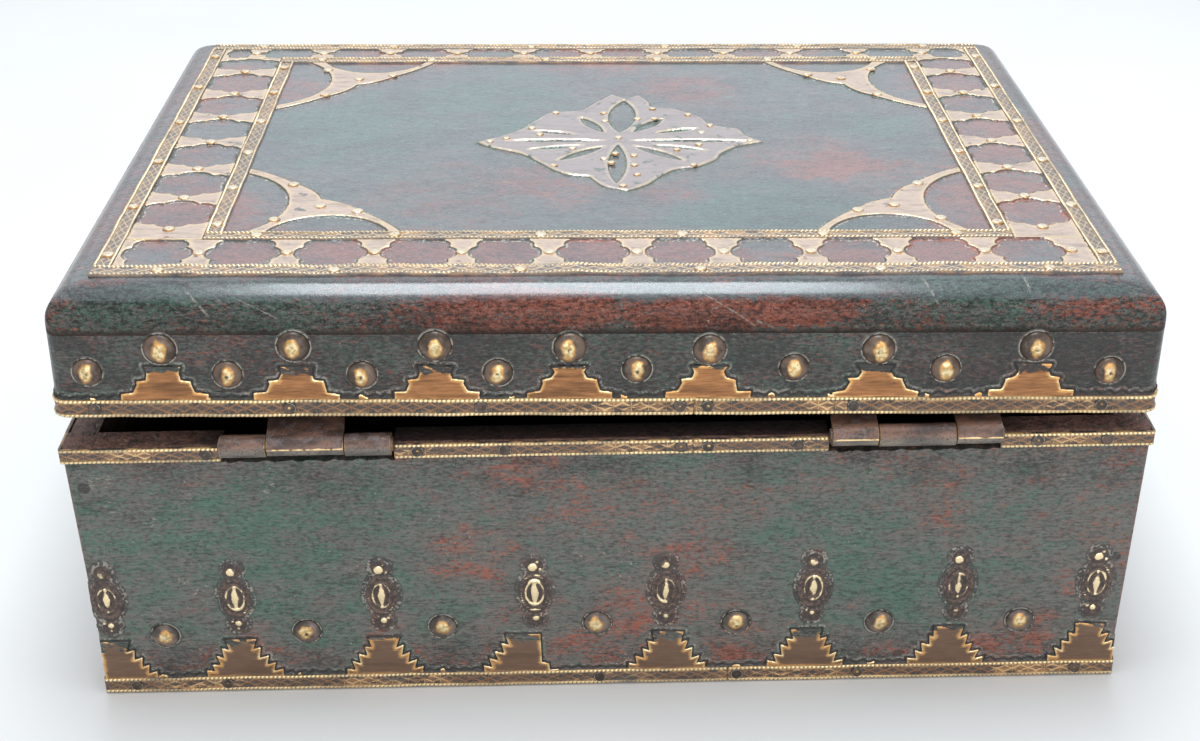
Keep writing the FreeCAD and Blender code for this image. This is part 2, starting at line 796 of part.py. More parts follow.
def swing_room(spans):
    """The space round the other leaf's knuckles that this leaf leaves clear."""
    rooms = []
    for start, end in spans:
        at = Vector(start - knuckle_gap, barrel_y, barrel_z)
        rooms.append(Part.makeCylinder(
            barrel_radius + leaf_clearance, end - start + 2 * knuckle_gap, at, Vector(1, 0, 0)
        ))
    return rooms


def bore_room(centre, radius):
    """The hole that the pin needs right through one hinge."""
    at = Vector(centre - hinge_length, barrel_y, barrel_z)
    return Part.makeCylinder(radius, 2 * hinge_length, at, Vector(1, 0, 0))


def chest_leaf(centre, lid_in_middle):
    """The leaf that runs in from the barrel and down inside the back wall."""
    own, other = knuckle_spans(centre, lid_in_middle)
    half = leaf_thickness / 2
    bend_z = barrel_z - barrel_radius + half
    inset_low = chest_lean * (1 - (bend_z - leaf_drop) / chest_height)
    inset_high = chest_lean * (1 - bend_z / chest_height)
    inner = -chest_depth / 2 + wall_thickness + half + leaf_wall_gap
    path = [(barrel_y, bend_z), (inner + inset_high, bend_z), (inner + inset_low, bend_z - leaf_drop)]
    leaf = bent_strip(path, leaf_thickness, centre - hinge_length / 2, centre + hinge_length / 2)
    leaf = leaf.cut(swing_room(other)).fuse([knuckle(*span, hinge_pin_radius) for span in own])
    return leaf.cut(bore_room(centre, hinge_pin_radius)).removeSplitter()


def lid_leaf(centre, lid_in_middle):
    """The leaf that rises from the barrel and turns up inside the lid's back rail."""
    other, own = knuckle_spans(centre, lid_in_middle)
    axis = lid_pose.inverse().multVec(Vector(centre, barrel_y, barrel_z))
    half = leaf_thickness / 2
    inner = -chest_depth / 2 + lid_rail_thickness + half
    path = [
        (axis.y, axis.z + barrel_radius - half), (inner, -leaf_thickness), (inner, leaf_drop)
    ]
    leaf = bent_strip(path, leaf_thickness, axis.x - hinge_length / 2, axis.x + hinge_length / 2)
    leaf = placed(leaf, lid_pose)
    bore_radius = hinge_pin_radius + hinge_running_clearance
    leaf = leaf.cut(swing_room(other)).fuse([knuckle(*span, bore_radius) for span in own])
    return leaf.cut(bore_room(centre, bore_radius)).removeSplitter()


def hinge_pin(centre):
    """The wire pin with a small upset head beyond each end of the barrel."""
    along = Vector(1, 0, 0)
    left = centre - hinge_length / 2
    pin = Part.makeCylinder(hinge_pin_radius, hinge_length, Vector(left, barrel_y, barrel_z), along)
    for start in (left - hinge_pin_head_thickness, left + hinge_length):
        at = Vector(start, barrel_y, barrel_z)
        pin = pin.fuse(Part.makeCylinder(hinge_pin_head_radius, hinge_pin_head_thickness, at, along))
    return pin.removeSplitter()


def leaf_nails(centre, lid):
    """Three nails through a leaf's flange, from the inside of the box."""
    nail = domed_nail(nail_head_radius, leaf_nail_rise, nail_shank_radius, leaf_nail_length)
    thickness = lid_rail_thickness if lid else wall_thickness
    frame = wall_frame("back", lid)
    face_z = -(thickness + leaf_thickness)
    height = (leaf_drop + leaf_thickness) / 2
    if not lid:
        height = barrel_z - barrel_radius - leaf_drop / 2
    inwards = Rotation(Vector(1, 0, 0), half_turn)
    nails = []
    for u in (-1, 0, 1):
        along = centre + u * (hinge_length / 2 - leaf_nail_margin)
        nails.append(placed(nail, frame.multiply(Placement(Vector(along, height, face_z), inwards))))
    return nails


def build_chest(hinges):
    """Carcass, its nails and everything nailed to it."""
    frame_nails = corner_nails(False) + floor_nails()
    stud_rows = []
    plaques = []
    pins = []
    for side in sides:
        is_long = side in long_sides
        half = sides[side][1]
        crest_shares = chest_crest_shares if is_long else side_crest_shares
        stud_shares = chest_stud_shares if is_long else side_low_stud_shares
        stud_rows += studs(
            side, stud_shares, chest_stud_height, chest_stud_radius, chest_stud_rise
        )
        plate = plaque()
        for share in chest_plaque_shares if is_long else side_crest_shares:
            plate_at = min(abs(share) * half, half_length_at(side, plaque_centre_height)
                           - plaque_width / 2) * (1 if share > 0 else -1)
            at = stuck_at(plate, plate_at, plaque_centre_height)
            plaques.append(placed(at, wall_frame(side)))
        crest_low = foot_band_rise + foot_band_width
        save("chest_crest_" + side, crest(
            side, crest_low, crest_shares, chest_pyramid_shares,
            chest_crest_half_width, chest_crest_height,
        ))
        foot_cuts = [seam(side, foot_seam_share)] if is_long else []
        save("foot_band_" + side, band_run(side, foot_band_rise, foot_band_width, foot_cuts))
        rim_cuts = [seam(side, rim_seam_share)] if is_long else []
        rim_shares = rim_pin_shares if is_long else side_pin_shares
        if side == "back":
            rim_cuts = [notch_break(hinge_left_centre)] + rim_cuts
            rim_cuts.append(notch_break(hinge_right_centre))
        rim_low = math.hypot(chest_height, chest_lean) - rim_band_width
        save("rim_band_" + side, band_run(side, rim_low, rim_band_width, rim_cuts))
        pins += band_pins(side, rim_shares, rim_low + rim_band_width / 2)
        foot_shares = foot_pin_shares if is_long else side_pin_shares
        pins += band_pins(side, foot_shares, foot_band_rise + foot_band_width / 2)
    leaf_nail_list = leaf_nails(hinge_left_centre, False) + leaf_nails(hinge_right_centre, False)
    cutters = frame_nails + stud_rows + leaf_nail_list
    for side in sides:
        wall = chest_wall(side)
        if side == "back":
            wall = wall.cut([hinge_notch(centre) for centre, in_middle in hinges.values()])
        save("chest_" + side + "_wall", bored(wall, cutters))
    save("chest_floor", bored(chest_floor(), frame_nails))
    save("chest_joint_nails", group(frame_nails))
    save("chest_studs", group(stud_rows))
    save("chest_plaques", group(plaques))
    save("chest_band_pins", group(pins))
    return leaf_nail_list


def build_lid():
    """Rails, board and everything nailed to them, in the lid's own place."""
    frame_nails = corner_nails(True) + board_nails()
    stud_rows = []
    pins = []
    for side in sides:
        is_long = side in long_sides
        crest_shares = lid_crest_shares if is_long else side_crest_shares
        low_shares = lid_low_stud_shares if is_long else side_low_stud_shares
        stud_rows += studs(
            side, crest_shares, lid_stud_height, lid_stud_radius, lid_stud_rise, lid=True
        )
        stud_rows += studs(
            side, low_shares, lid_low_stud_height, lid_low_stud_radius, lid_low_stud_rise, lid=True
        )
        save("lid_crest_" + side, crest(
            side, lid_edge_band_width, crest_shares, lid_pyramid_shares,
            lid_crest_half_width, lid_crest_height, lid=True,
        ), on_lid=True)
        cuts = [seam(side, lid_edge_seam_share)] if is_long else []
        save(
            "lid_edge_band_" + side,
            band_run(side, 0.0, lid_edge_band_width, cuts, lid=True), on_lid=True,
        )
        shares = lid_edge_pin_shares if is_long else side_pin_shares
        pins += band_pins(side, shares, lid_edge_band_width / 2, lid=True)
    leaf_nail_list = leaf_nails(hinge_left_centre, True) + leaf_nails(hinge_right_centre, True)
    cutters = frame_nails + stud_rows + leaf_nail_list
    for side in sides:
        save("lid_" + side + "_rail", bored(lid_rail(side), cutters), on_lid=True)
    save("lid_board", bored(lid_board(), frame_nails), on_lid=True)
    save("lid_joint_nails", group(frame_nails), on_lid=True)
    save("lid_studs", group(stud_rows), on_lid=True)
    save("lid_band_pins", group(pins), on_lid=True)
    return leaf_nail_list


def build_lid_top():
    """Frames, pierced border, corner plates and medallion on the board."""
    outer, border, inner = top_rectangles()
    for name, rectangle in (("outer", outer), ("inner", inner)):
        for side, band in frame_bands(*rectangle).items():
            save("lid_" + name + "_band_" + side, band, on_lid=True)
    strips = fret_borders()
    for side, (strip, waists) in strips.items():
        save("lid_fret_" + side, strip, on_lid=True)
    save("lid_corner_plates", group(corner_plates()), on_lid=True)
    save("lid_medallion", medallion(), on_lid=True)
    save("lid_top_pins", group(top_pins(strips) + medallion_beads()), on_lid=True)


def build_hinges(hinges, chest_nails, lid_nails):
    """Both hinges: two leaves and a pin each, and the nails that hold them."""
    for name, (centre, in_middle) in hinges.items():
        save(name + "_chest_leaf", chest_leaf(centre, in_middle).cut(chest_nails))
        placed_nails = [placed(nail, lid_pose) for nail in lid_nails]
        save(name + "_lid_leaf", lid_leaf(centre, in_middle).cut(placed_nails))
        save(name + "_pin", hinge_pin(centre))
    save("hinge_chest_nails", group(chest_nails))
    save("hinge_lid_nails", group(lid_nails), on_lid=True)


os.makedirs("parts", exist_ok=True)
hinge_set = {"hinge_left": (hinge_left_centre, True), "hinge_right": (hinge_right_centre, False)}
chest_hinge_nails = build_chest(hinge_set)
lid_hinge_nails = build_lid()
build_lid_top()
build_hinges(hinge_set, chest_hinge_nails, lid_hinge_nails)
print("lid tilt", round(lid_tilt_angle, 3), "barrel axis", round(barrel_y, 3), round(barrel_z, 3))
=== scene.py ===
import math

import bpy
import numpy as np
from mathutils import Matrix, Vector


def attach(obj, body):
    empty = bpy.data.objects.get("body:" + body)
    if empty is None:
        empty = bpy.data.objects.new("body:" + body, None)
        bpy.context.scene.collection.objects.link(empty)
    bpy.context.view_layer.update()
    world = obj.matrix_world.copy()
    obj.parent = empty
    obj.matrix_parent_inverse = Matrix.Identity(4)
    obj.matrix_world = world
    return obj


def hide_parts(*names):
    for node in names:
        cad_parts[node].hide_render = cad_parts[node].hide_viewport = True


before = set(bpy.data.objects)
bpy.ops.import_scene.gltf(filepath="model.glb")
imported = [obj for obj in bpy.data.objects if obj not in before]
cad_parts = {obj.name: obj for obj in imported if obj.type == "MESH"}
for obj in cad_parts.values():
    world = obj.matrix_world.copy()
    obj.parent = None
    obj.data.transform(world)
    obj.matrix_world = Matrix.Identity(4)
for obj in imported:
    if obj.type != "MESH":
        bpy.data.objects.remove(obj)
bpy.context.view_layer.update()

# The chest's four walls
# Thin boards that lean in towards the foot, the long ones nailed over the ends of the
# short ones. They are painted dark green and brick red in thin streaky coats, and the
# paint is rubbed back to red-brown wood along the rim and the upright corners. The rim's
# top, in the gap under the lid, is painted dark as shade, and so is a band along the foot.
mm = 0.001
chest_length = 278.2
chest_depth = 210.0
chest_height = 78.6
chest_lean = 1.45
wall_thickness = 8.0
wall_edge_wear = 1.3
lean_angle = math.atan(chest_lean / chest_height)
SIDES = {
    "back": (0, chest_length / 2, chest_depth / 2),
    "right": (1, chest_depth / 2, chest_length / 2),
    "front": (2, chest_length / 2, chest_depth / 2),
    "left": (3, chest_depth / 2, chest_length / 2),
}
LONG_SIDES = ("back", "front")

lid_back_gap = 7.5
lid_skew = math.radians(0.84)
lid_rest_clearance = 0.15
skew_drop = chest_length / 2 * math.sin(lid_skew)
lid_tilt = math.asin((lid_back_gap - skew_drop - lid_rest_clearance) / chest_depth)

lid_corner_radius = 4.0
hinge_places = {"left": -76.7, "right": 78.4}
hinge_length = 43.2
notch_half = hinge_length / 2 + 0.5
notch_floor = 74.7
# From which angle an edge stays sharp, in degrees, and where that isn't the usual one
usual_crease_angle = 40
crease_angles = {"brass_sheet": 60, "hinge_metal": 35}


def rotated(points, axis, angle):
    """Turns points about a main axis through the origin by the right-hand rule."""
    a, b = [i for i in range(3) if i != axis]
    if axis == 1:
        a, b = b, a
    turned = points.copy()
    turned[:, a] = math.cos(angle) * points[:, a] - math.sin(angle) * points[:, b]
    turned[:, b] = math.sin(angle) * points[:, a] + math.cos(angle) * points[:, b]
    return turned


def set_down(points, side=None, on_lid=False, wraps=True):
    """Face points (along, up, out of the face) become chest points.

    A face stands on the foot of its wall, leans out with it and is turned round the
    chest by quarter turns. On the lid there is no lean, and the lid's own pose follows:
    skewed left end up, tilted front down, and hung at its back lower edge. With no side
    the points are already in the lid's own x, y and z. What wraps is carried round the
    lid's rounded upright corners: past their start, along becomes an angle round them.
    """
    points = np.asarray(points, float)
    if side:
        turns, half, reach = SIDES[side]
        lean = 0.0 if on_lid else lean_angle
        along, up, out = points.T
        if on_lid and wraps:
            start = half - lid_corner_radius
            turn = np.clip(np.abs(along) - start, 0, None) / lid_corner_radius
            bent = start + (lid_corner_radius + out) * np.sin(turn)
            along = np.where(turn > 0, np.sign(along) * bent, along)
            out = np.where(turn > 0, (lid_corner_radius + out) * np.cos(turn) - lid_corner_radius, out)
        foot = reach if on_lid else reach - chest_lean
        points = np.stack([
            along,
            -foot - up * math.sin(lean) - out * math.cos(lean),
            up * math.cos(lean) - out * math.sin(lean),
        ], axis=1)
        points = rotated(points, 2, turns * math.pi / 2)
    if on_lid:
        points = points + [0, chest_depth / 2, 0]
        points = rotated(rotated(points, 1, lid_skew), 0, -lid_tilt)
        points = points + [0, -chest_depth / 2, chest_height + lid_back_gap]
    return points


def put_down(part, side=None, on_lid=False, wraps=True, shift=(0.0, 0.0, 0.0)):
    """A part (points, faces, marks) shifted on its face and then set down."""
    points, faces, marks = part
    return set_down(points + np.asarray(shift), side, on_lid, wraps), faces, marks


def joined(parts):
    """Several parts as one, with the faces renumbered and kept by size."""
    points, by_size, marks, count = [], {}, {}, 0
    for part_points, part_faces, part_marks in parts:
        points.append(part_points)
        for faces in part_faces:
            by_size.setdefault(faces.shape[1], []).append(faces + count)
        for mark, values in part_marks.items():
            marks.setdefault(mark, []).append(values.ravel())
        count += len(part_points)
    marks = {mark: np.concatenate(values) for mark, values in marks.items()}
    return np.concatenate(points), [np.concatenate(group) for group in by_size.values()], marks


def make_piece(name, body, slot, parts, material, stands_for):
    """One mesh of parts: points in millimetres, arrays of equal faces, marks on points."""
    points, faces, marks = joined(parts)
    mesh = bpy.data.meshes.new(name)
    mesh.vertices.add(len(points))
    mesh.vertices.foreach_set("co", (points * mm).ravel())
    sizes = np.concatenate([np.full(len(group), group.shape[1]) for group in faces])
    corners = np.concatenate([group.ravel() for group in faces])
    mesh.loops.add(len(corners))
    mesh.loops.foreach_set("vertex_index", corners.astype(np.int32))
    mesh.polygons.add(len(sizes))
    starts = np.concatenate([[0], np.cumsum(sizes)[:-1]])
    mesh.polygons.foreach_set("loop_start", starts.astype(np.int32))
    mesh.update(calc_edges=True)
    for mark, values in marks.items():
        mesh.attributes.new(mark, "FLOAT", "POINT").data.foreach_set("value", values)
    mesh.shade_smooth()
    mesh.set_sharp_from_angle(angle=math.radians(crease_angles.get(slot, usual_crease_angle)))
    mesh.materials.append(material)
    piece = bpy.data.objects.new(name, mesh)
    bpy.context.collection.objects.link(piece)
    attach(piece, body)
    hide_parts(stands_for)


def wander(t, wave, seed):
    """A slow uneven swing between -1 and 1: three sines whose waves don't repeat together."""
    total = 0
    for i, (share, strength) in enumerate(((1.0, 0.5), (0.57, 0.3), (0.31, 0.2))):
        total = total + strength * np.sin(2 * np.pi * t / (wave * share) + seed * (2.1 + i) + i)
    return total


def slab(along, up, top, bottom, marks, keep=None):
    """A closed plate on a grid: a top and a bottom surface, and walls round what is kept.

    along, up, top and bottom are arrays of one shape; keep says which cells stay. A wall
    face stands on every directed edge whose reverse no neighbouring cell has.
    """
    rows, columns = along.shape
    index = np.arange(rows * columns).reshape(rows, columns)
    cells = np.stack([index[:-1, :-1], index[1:, :-1], index[1:, 1:], index[:-1, 1:]], axis=-1)
    cells = cells[keep] if keep is not None else cells.reshape(-1, 4)
    starts = cells.ravel()
    ends = np.roll(cells, -1, axis=1).ravel()
    count = rows * columns
    rim = ~np.isin(starts * count + ends, ends * count + starts)
    a, b = starts[rim], ends[rim]
    faces = np.concatenate([
        cells,
        cells[:, ::-1] + count,
        np.stack([b, a, a + count, b + count], axis=1),
    ])
    flat = [np.stack([along, up, height], axis=-1).reshape(-1, 3) for height in (top, bottom)]
    points = np.concatenate(flat)
    used, faces = np.unique(faces, return_inverse=True)
    both = {}
    for mark, (above, below) in marks.items():
        both[mark] = np.concatenate([above.ravel(), below.ravel()])[used]
    return points[used], [faces.reshape(-1, 4)], both


def stations(stop, step, edge, at=()):
    """Grid lines from -stop to stop: close together in the rounded edge, even between."""
    bend = edge * (1 - np.cos(np.radians([0, 22, 45, 67, 90])))
    inner = np.linspace(-stop + edge, stop - edge, max(int(2 * (stop - edge) / step), 2))
    lines = np.concatenate([bend - stop, inner, stop - bend, at])
    return np.unique(lines.round(4))


def rounded_drop(edge_distance, radius):
    """How far a quarter-round edge falls: r - sqrt(r^2 - (r - e)^2) inside the radius."""
    inside = np.clip(radius - edge_distance, 0, radius)
    return radius - np.sqrt(radius ** 2 - inside ** 2)


class Wiring:
    """A node tree with the few moves used to wire it."""

    def __init__(self, tree):
        self.tree = tree

    def node(self, kind, inputs=None, **settings):
        """A new node, its settings made and its inputs fed."""
        made = self.tree.nodes.new(kind)
        for name, value in settings.items():
            setattr(made, name, value)
        for name, value in (inputs or {}).items():
            self.feed(made.inputs[name], value)
        return made

    def feed(self, socket, value):
        """Links another socket to this one, or sets its value."""
        if isinstance(value, bpy.types.NodeSocket):
            self.tree.links.new(value, socket)
        else:
            socket.default_value = value

    def mark(self, name):
        """A value that the mesh carries at its points."""
        return self.node("ShaderNodeAttribute", attribute_name=name).outputs["Fac"]

    def math(self, operation, *values):
        """One sum on numbers or sockets."""
        return self.node("ShaderNodeMath", dict(enumerate(values)), operation=operation).outputs[0]

    def times(self, a, b):
        """A times b."""
        return self.math("MULTIPLY", a, b)

    def plus(self, a, b):
        """A plus b."""
        return self.math("ADD", a, b)

    def times_plus(self, a, b, c):
        """A times b, plus c."""
        return self.math("MULTIPLY_ADD", a, b, c)

    def larger(self, a, b):
        """The larger of two."""
        return self.math("MAXIMUM", a, b)

    def scaled(self, place, by):
        """A place stretched by its own factor along each axis."""
        return self.node("ShaderNodeVectorMath", {0: place, 1: by}, operation="MULTIPLY").outputs[0]

    def axis(self, place, name):
        """One coordinate of a place."""
        return self.node("ShaderNodeSeparateXYZ", {0: place}).outputs[name]

    def flat_map(self, x, y):
        """A place in a plane."""
        return self.node("ShaderNodeCombineXYZ", {"X": x, "Y": y}).outputs[0]

    def apart(self, place, *spot):
        """The distance of each point from a spot, which is given in millimetres."""
        spot = tuple(c * mm for c in spot)
        made = self.node("ShaderNodeVectorMath", {0: place, 1: spot}, operation="DISTANCE")
        return made.outputs["Value"]

    def noise(self, place, per_metre, detail, rough, seed):
        """A soft random pattern of so many waves to the metre."""
        return self.node("ShaderNodeTexNoise", {
            "Vector": place, "Scale": per_metre, "Detail": detail, "Roughness": rough, "W": seed,
        }, noise_dimensions="4D").outputs["Fac"]

    def step(self, value, low, high, to_low=0.0, to_high=1.0):
        """Rises smoothly from to_low to to_high while value goes from low to high."""
        return self.node("ShaderNodeMapRange", {
            "Value": value, "From Min": low, "From Max": high, "To Min": to_low, "To Max": to_high,
        }, interpolation_type="SMOOTHSTEP").outputs["Result"]

    def between(self, value, *limits):
        """Rises between the first two limits and falls between the last two."""
        return self.times(self.step(value, *limits[:2]), self.step(value, *limits[2:]))

    def mixed(self, data_type, kind, share, a, b):
        """Goes from a to b while share goes from 0 to 1."""
        made = self.node("ShaderNodeMix", data_type=data_type)
        sockets = {socket.identifier: socket for socket in made.inputs}
        for name, value in (("Factor_Float", share), ("A_" + kind, a), ("B_" + kind, b)):
            self.feed(sockets[name], (*value, 1.0) if isinstance(value, tuple) else value)
        return next(s for s in made.outputs if s.identifier == "Result_" + kind)

    def blend(self, share, a, b):
        """From colour a to colour b."""
        return self.mixed("RGBA", "Color", share, a, b)

    def layered(self, color, *layers):
        """Lays each tone over the colour by its share, in turn."""
        for share, tone in layers:
            color = self.blend(share, color, tone)
        return color

    def lerp(self, share, a, b):
        """From number a to number b."""
        return self.mixed("FLOAT", "Float", share, a, b)


paint_green = (0.074, 0.158, 0.116)
paint_red = (0.370, 0.096, 0.054)
paint_dark = (0.022, 0.020, 0.019)
paint_grey = (0.150, 0.142, 0.130)
dust_pale = (0.46, 0.42, 0.36)
wood_bare = (0.260, 0.125, 0.095)
wood_inside = (0.040, 0.024, 0.018)
# A pale bluish tone mixed into the lid's paint as a painted sheen of reflected light
painted_sheen_tone = (0.140, 0.150, 0.185)

# Patches in the paint: x, y, z of the middle and the reach in millimetres, then how red
# (positive) or how green (negative) it turns there
paint_patches = (
    (-111, -105, 45, 38, -1.1), (-74, -105, 51, 38, -1.0), (-49, -105, 28, 24, -0.8),
    (47, -105, 48, 32, -0.9), (74, -105, 28, 28, -0.8), (111, -105, 41, 24, -0.8),
    (-20, -105, 61, 26, 1.0), (-2, -105, 21, 20, 1.1), (-37, -105, 46, 17, 0.8),
    (-95, -105, 20, 13, 1.2), (-60, -105, 22, 11, 1.2), (25, -105, 41, 16, 0.7),
    (84, -105, 55, 17, 0.8), (35, -105, 13, 12, 1.0), (105, -105, 12, 14, 0.7),
    (-75, 15, 120, 50, -1.0), (-30, 45, 119, 36, -0.8), (47, -55, 120, 40, -0.8),
    (90, 5, 118, 28, -0.9), (-21, -38, 120, 26, 0.5), (-55, -45, 120, 24, 0.3),
    (68, -12, 119, 30, 0.7), (30, 50, 118, 26, 0.8), (-117, 0, 120, 40, 0.7),
    (-25, 15, 120, 16, -0.8), (20, -40, 120, 14, 0.8), (-90, 45, 119, 20, 0.6),
    (-117, 48, 119, 40, 1.0), (-117, -52, 120, 40, 1.0), (117, 5, 117, 44, 1.0),
    (118, 60, 117, 34, 1.0), (117, -55, 118, 40, 0.9),
    *((x, -80, 120, 22, 1.1) for x in range(-90, 91, 30)),
    (-60, 92, 120, 36, 0.9), (0, 92, 119, 36, 0.9), (60, 92, 118, 36, 0.9),
)


def new_group(name, inputs, outputs):
    """A shader node group: its tree, and its inputs and outputs as they look from inside."""
    tree = bpy.data.node_groups.new(name, "ShaderNodeTree")
    for label, kind, default in inputs:
        socket = tree.interface.new_socket(label, in_out="INPUT", socket_type="NodeSocket" + kind)
        if default is not None:
            socket.default_value = default
    for label, kind in outputs:
        tree.interface.new_socket(label, in_out="OUTPUT", socket_type="NodeSocket" + kind)
    return tree, tree.nodes.new("NodeGroupInput").outputs, tree.nodes.new("NodeGroupOutput").inputs


def build_aged_paint():
    """Thin green and red coats in soft flecks, with grime, brush marks, pits and specks."""
    tree, given, out = new_group("aged_paint", (
        ("Place", "Vector", None),
        ("Grain", "Vector", (0.4, 0.4, 1.0)),
        ("Red", "Float", 0.0),
        ("Gloom", "Float", 0.0),
        ("Patchy", "Float", 0.34),
        ("Fleck", "Float", 1.5),
    ), (("Color", "Color"), ("Roughness", "Float"), ("Height", "Float")))
    w = Wiring(tree)
    place = given["Place"]
    streaked = w.scaled(place, given["Grain"])
    lean = given["Red"]
    for x, y, z, reach, strength in paint_patches:
        near = w.step(w.apart(place, x, y, z), reach * mm * 0.2, reach * mm, strength, 0.0)
        lean = w.plus(lean, near)
    mottle = w.noise(streaked, 170.0, 4.0, 0.62, 3.0)
    fleck = w.noise(streaked, 1500.0, 3.0, 0.62, 5.0)
    cloud = w.noise(streaked, 38.0, 3.0, 0.55, 1.0)
    hue = w.times_plus(mottle, 1.8, w.times_plus(cloud, 1.5, -1.65))
    hue = w.times_plus(lean, given["Patchy"], hue)
    flecked = w.times_plus(w.plus(fleck, -0.5), given["Fleck"], hue)
    color = w.blend(w.step(flecked, 0.10, -0.60), paint_grey, paint_green)
    other = w.noise(streaked, 1250.0, 3.0, 0.62, 15.0)
    flecked = w.times_plus(w.plus(other, -0.5), given["Fleck"], hue)
    color = w.blend(w.times(w.step(flecked, 0.10, 0.70), 0.88), color, paint_red)
    grime = w.noise(streaked, 90.0, 5.0, 0.65, 9.0)
    pits = w.noise(streaked, 1900.0, 2.0, 0.6, 12.0)
    gloom = w.times_plus(pits, 1.6, w.times_plus(grime, 1.6, -1.50))
    gloom = w.plus(given["Gloom"], gloom)
    color = w.blend(w.times(w.step(gloom, 0.0, 0.8), 0.88), color, paint_dark)
    streak = w.noise(w.scaled(streaked, (0.22, 0.22, 1.0)), 2400.0, 4.0, 0.65, 2.0)
    color = w.blend(w.step(streak, 0.50, 0.70, 0.0, 0.60), color, paint_dark)
    color = w.blend(w.step(streak, 0.46, 0.26, 0.0, 0.24), color, dust_pale)
    speck = w.noise(place, 1300.0, 2.0, 0.5, 6.0)
    where = w.step(w.noise(place, 60.0, 2.0, 0.5, 4.0), 0.46, 0.70)
    chips = w.times(w.step(speck, 0.64, 0.71), where)
    color = w.blend(w.times(chips, 0.8), color, dust_pale)
    w.feed(out["Color"], color)
    rough = w.lerp(w.step(mottle, 0.3, 0.7), 0.30, 0.46)
    w.feed(out["Roughness"], w.times_plus(chips, 0.3, rough))
    height = w.times_plus(streak, -0.9, w.times(fleck, 0.8))
    w.feed(out["Height"], w.times_plus(mottle, 1.2, height))
    return tree


aged_paint = build_aged_paint()


def new_material(name):
    """A material with its wiring, its shader and the object coordinates."""
    material = bpy.data.materials.new(name)
    material.use_nodes = True
    w = Wiring(material.node_tree)
    shader = next(n for n in material.node_tree.nodes if n.type == "BSDF_PRINCIPLED")
    return material, w, shader, w.node("ShaderNodeTexCoord").outputs["Object"]


def use_group(w, tree, **inputs):
    """Places a node group with its inputs and gives its outputs."""
    return w.node("ShaderNodeGroup", inputs, node_tree=tree).outputs


def surface(w, shader, height, strength, depth, **inputs):
    """Feeds the shader a bump, its depth in millimetres, and its inputs, _ for a space."""
    made = w.node("ShaderNodeBump", {"Height": height, "Strength": strength, "Distance": depth * mm})
    w.feed(shader.inputs["Normal"], made.outputs["Normal"])
    for name, value in inputs.items():
        w.feed(shader.inputs[name.replace("_", " ")], value)


def shade(tone, by):
    """A colour made lighter or darker."""
    return tuple(c * by for c in tone)


def painted_wood(name, grain, gloom, relief_height, patchy, fleck, mottled, coat=0.1, red=0.0,
                 sheen=0.0, scars=None, shine=0.32, inside_grain=(0.07, 0.07, 1.0), lumps=0.0,
                 coat_rough=0.22):
    """Painted board: bare wood where the mark wear is high, dark wood where inner is, and
    a painted shade, nearly black, where both are high.

    Gloom, coat, fleck, red, sheen, lumps and mottled are numbers, or functions that wire a
    mask. Scars is such a function too; its mask shows pale and stands up from the paint.
    Sheen mixes a pale bluish painted sheen of reflected light into the colour.
    """
    material, w, shader, place = new_material(name)
    gloom, coat, fleck, red, sheen, lumps, mottled = [
        value(w, place) if callable(value) else value
        for value in (gloom, coat, fleck, red, sheen, lumps, mottled)]
    paint = use_group(
        w, aged_paint, Place=place, Grain=grain, Gloom=gloom, Patchy=patchy, Fleck=fleck, Red=red)
    grained = w.scaled(place, grain)
    fibre = w.noise(grained, 520.0, 4.0, 0.7, 11.0)
    wear = w.mark("wear")
    worn = w.step(w.times_plus(wear, 1.5, w.times_plus(fibre, 1.4, -1.25)), 0.0, 0.5)
    wood = w.blend(w.step(fibre, 0.42, 0.72), wood_bare, paint_dark)
    color = w.blend(w.times(worn, 0.85), paint["Color"], wood)
    crust = w.noise(place, 1100.0, 3.0, 0.6, 8.0)
    chip = w.times(w.step(crust, 0.60, 0.68), w.step(wear, 0.40, 0.75, 0.0, 0.6))
    broken = w.step(w.noise(place, 110.0, 2.0, 0.5, 2.0), 0.42, 0.60, 0.25, 1.0)
    crack = w.times(w.step(crust, 0.51, 0.58, 0.0, 0.45), w.times(w.mark("seam"), broken))
    pale = w.times(w.larger(chip, crack), 0.8)
    wrinkle = w.noise(place, 700.0, 2.0, 0.55, 14.0)
    height = w.times_plus(wrinkle, 0.9, w.plus(fibre, paint["Height"]))
    height = w.times_plus(w.noise(place, 270.0, 3.0, 0.6, 43.0), lumps, height)
    if scars:
        scar = scars(w, place)
        pale = w.larger(pale, scar)
        height = w.times_plus(scar, 0.8, height)
    dirt = w.noise(grained, 1300.0, 4.0, 0.7, 17.0)
    color = w.blend(w.step(dirt, 0.48, 0.62, 0.0, mottled), color, paint_dark)
    color = w.blend(w.times(w.step(dirt, 0.48, 0.34, 0.0, mottled), 0.5), color, paint_grey)
    # Painted sheen: where sheen is high, the pale bluish tone stands in for reflected light
    color = w.blend(pale, w.blend(sheen, color, painted_sheen_tone), dust_pale)
    rings = w.noise(w.scaled(place, inside_grain), 420.0, 5.0, 0.7, 31.0)
    inside = w.blend(w.step(rings, 0.38, 0.62), shade(wood_inside, 1.7), shade(wood_inside, 0.5))
    # Painted shade: inside faces by the rim, and the chest's rim top, go nearly black where wear is high
    inside = w.blend(w.step(wear, 0.2, 0.9), inside, (0.008, 0.006, 0.006))
    inner = w.mark("inner")
    surface(w, shader, height, 0.8, relief_height, Base_Color=w.blend(inner, color, inside),
            Roughness=w.lerp(inner, w.times_plus(worn, 0.15, paint["Roughness"]), 0.8),
            Specular_IOR_Level=shine, Coat_Weight=coat, Coat_Roughness=coat_rough, Coat_IOR=1.62)
    return material


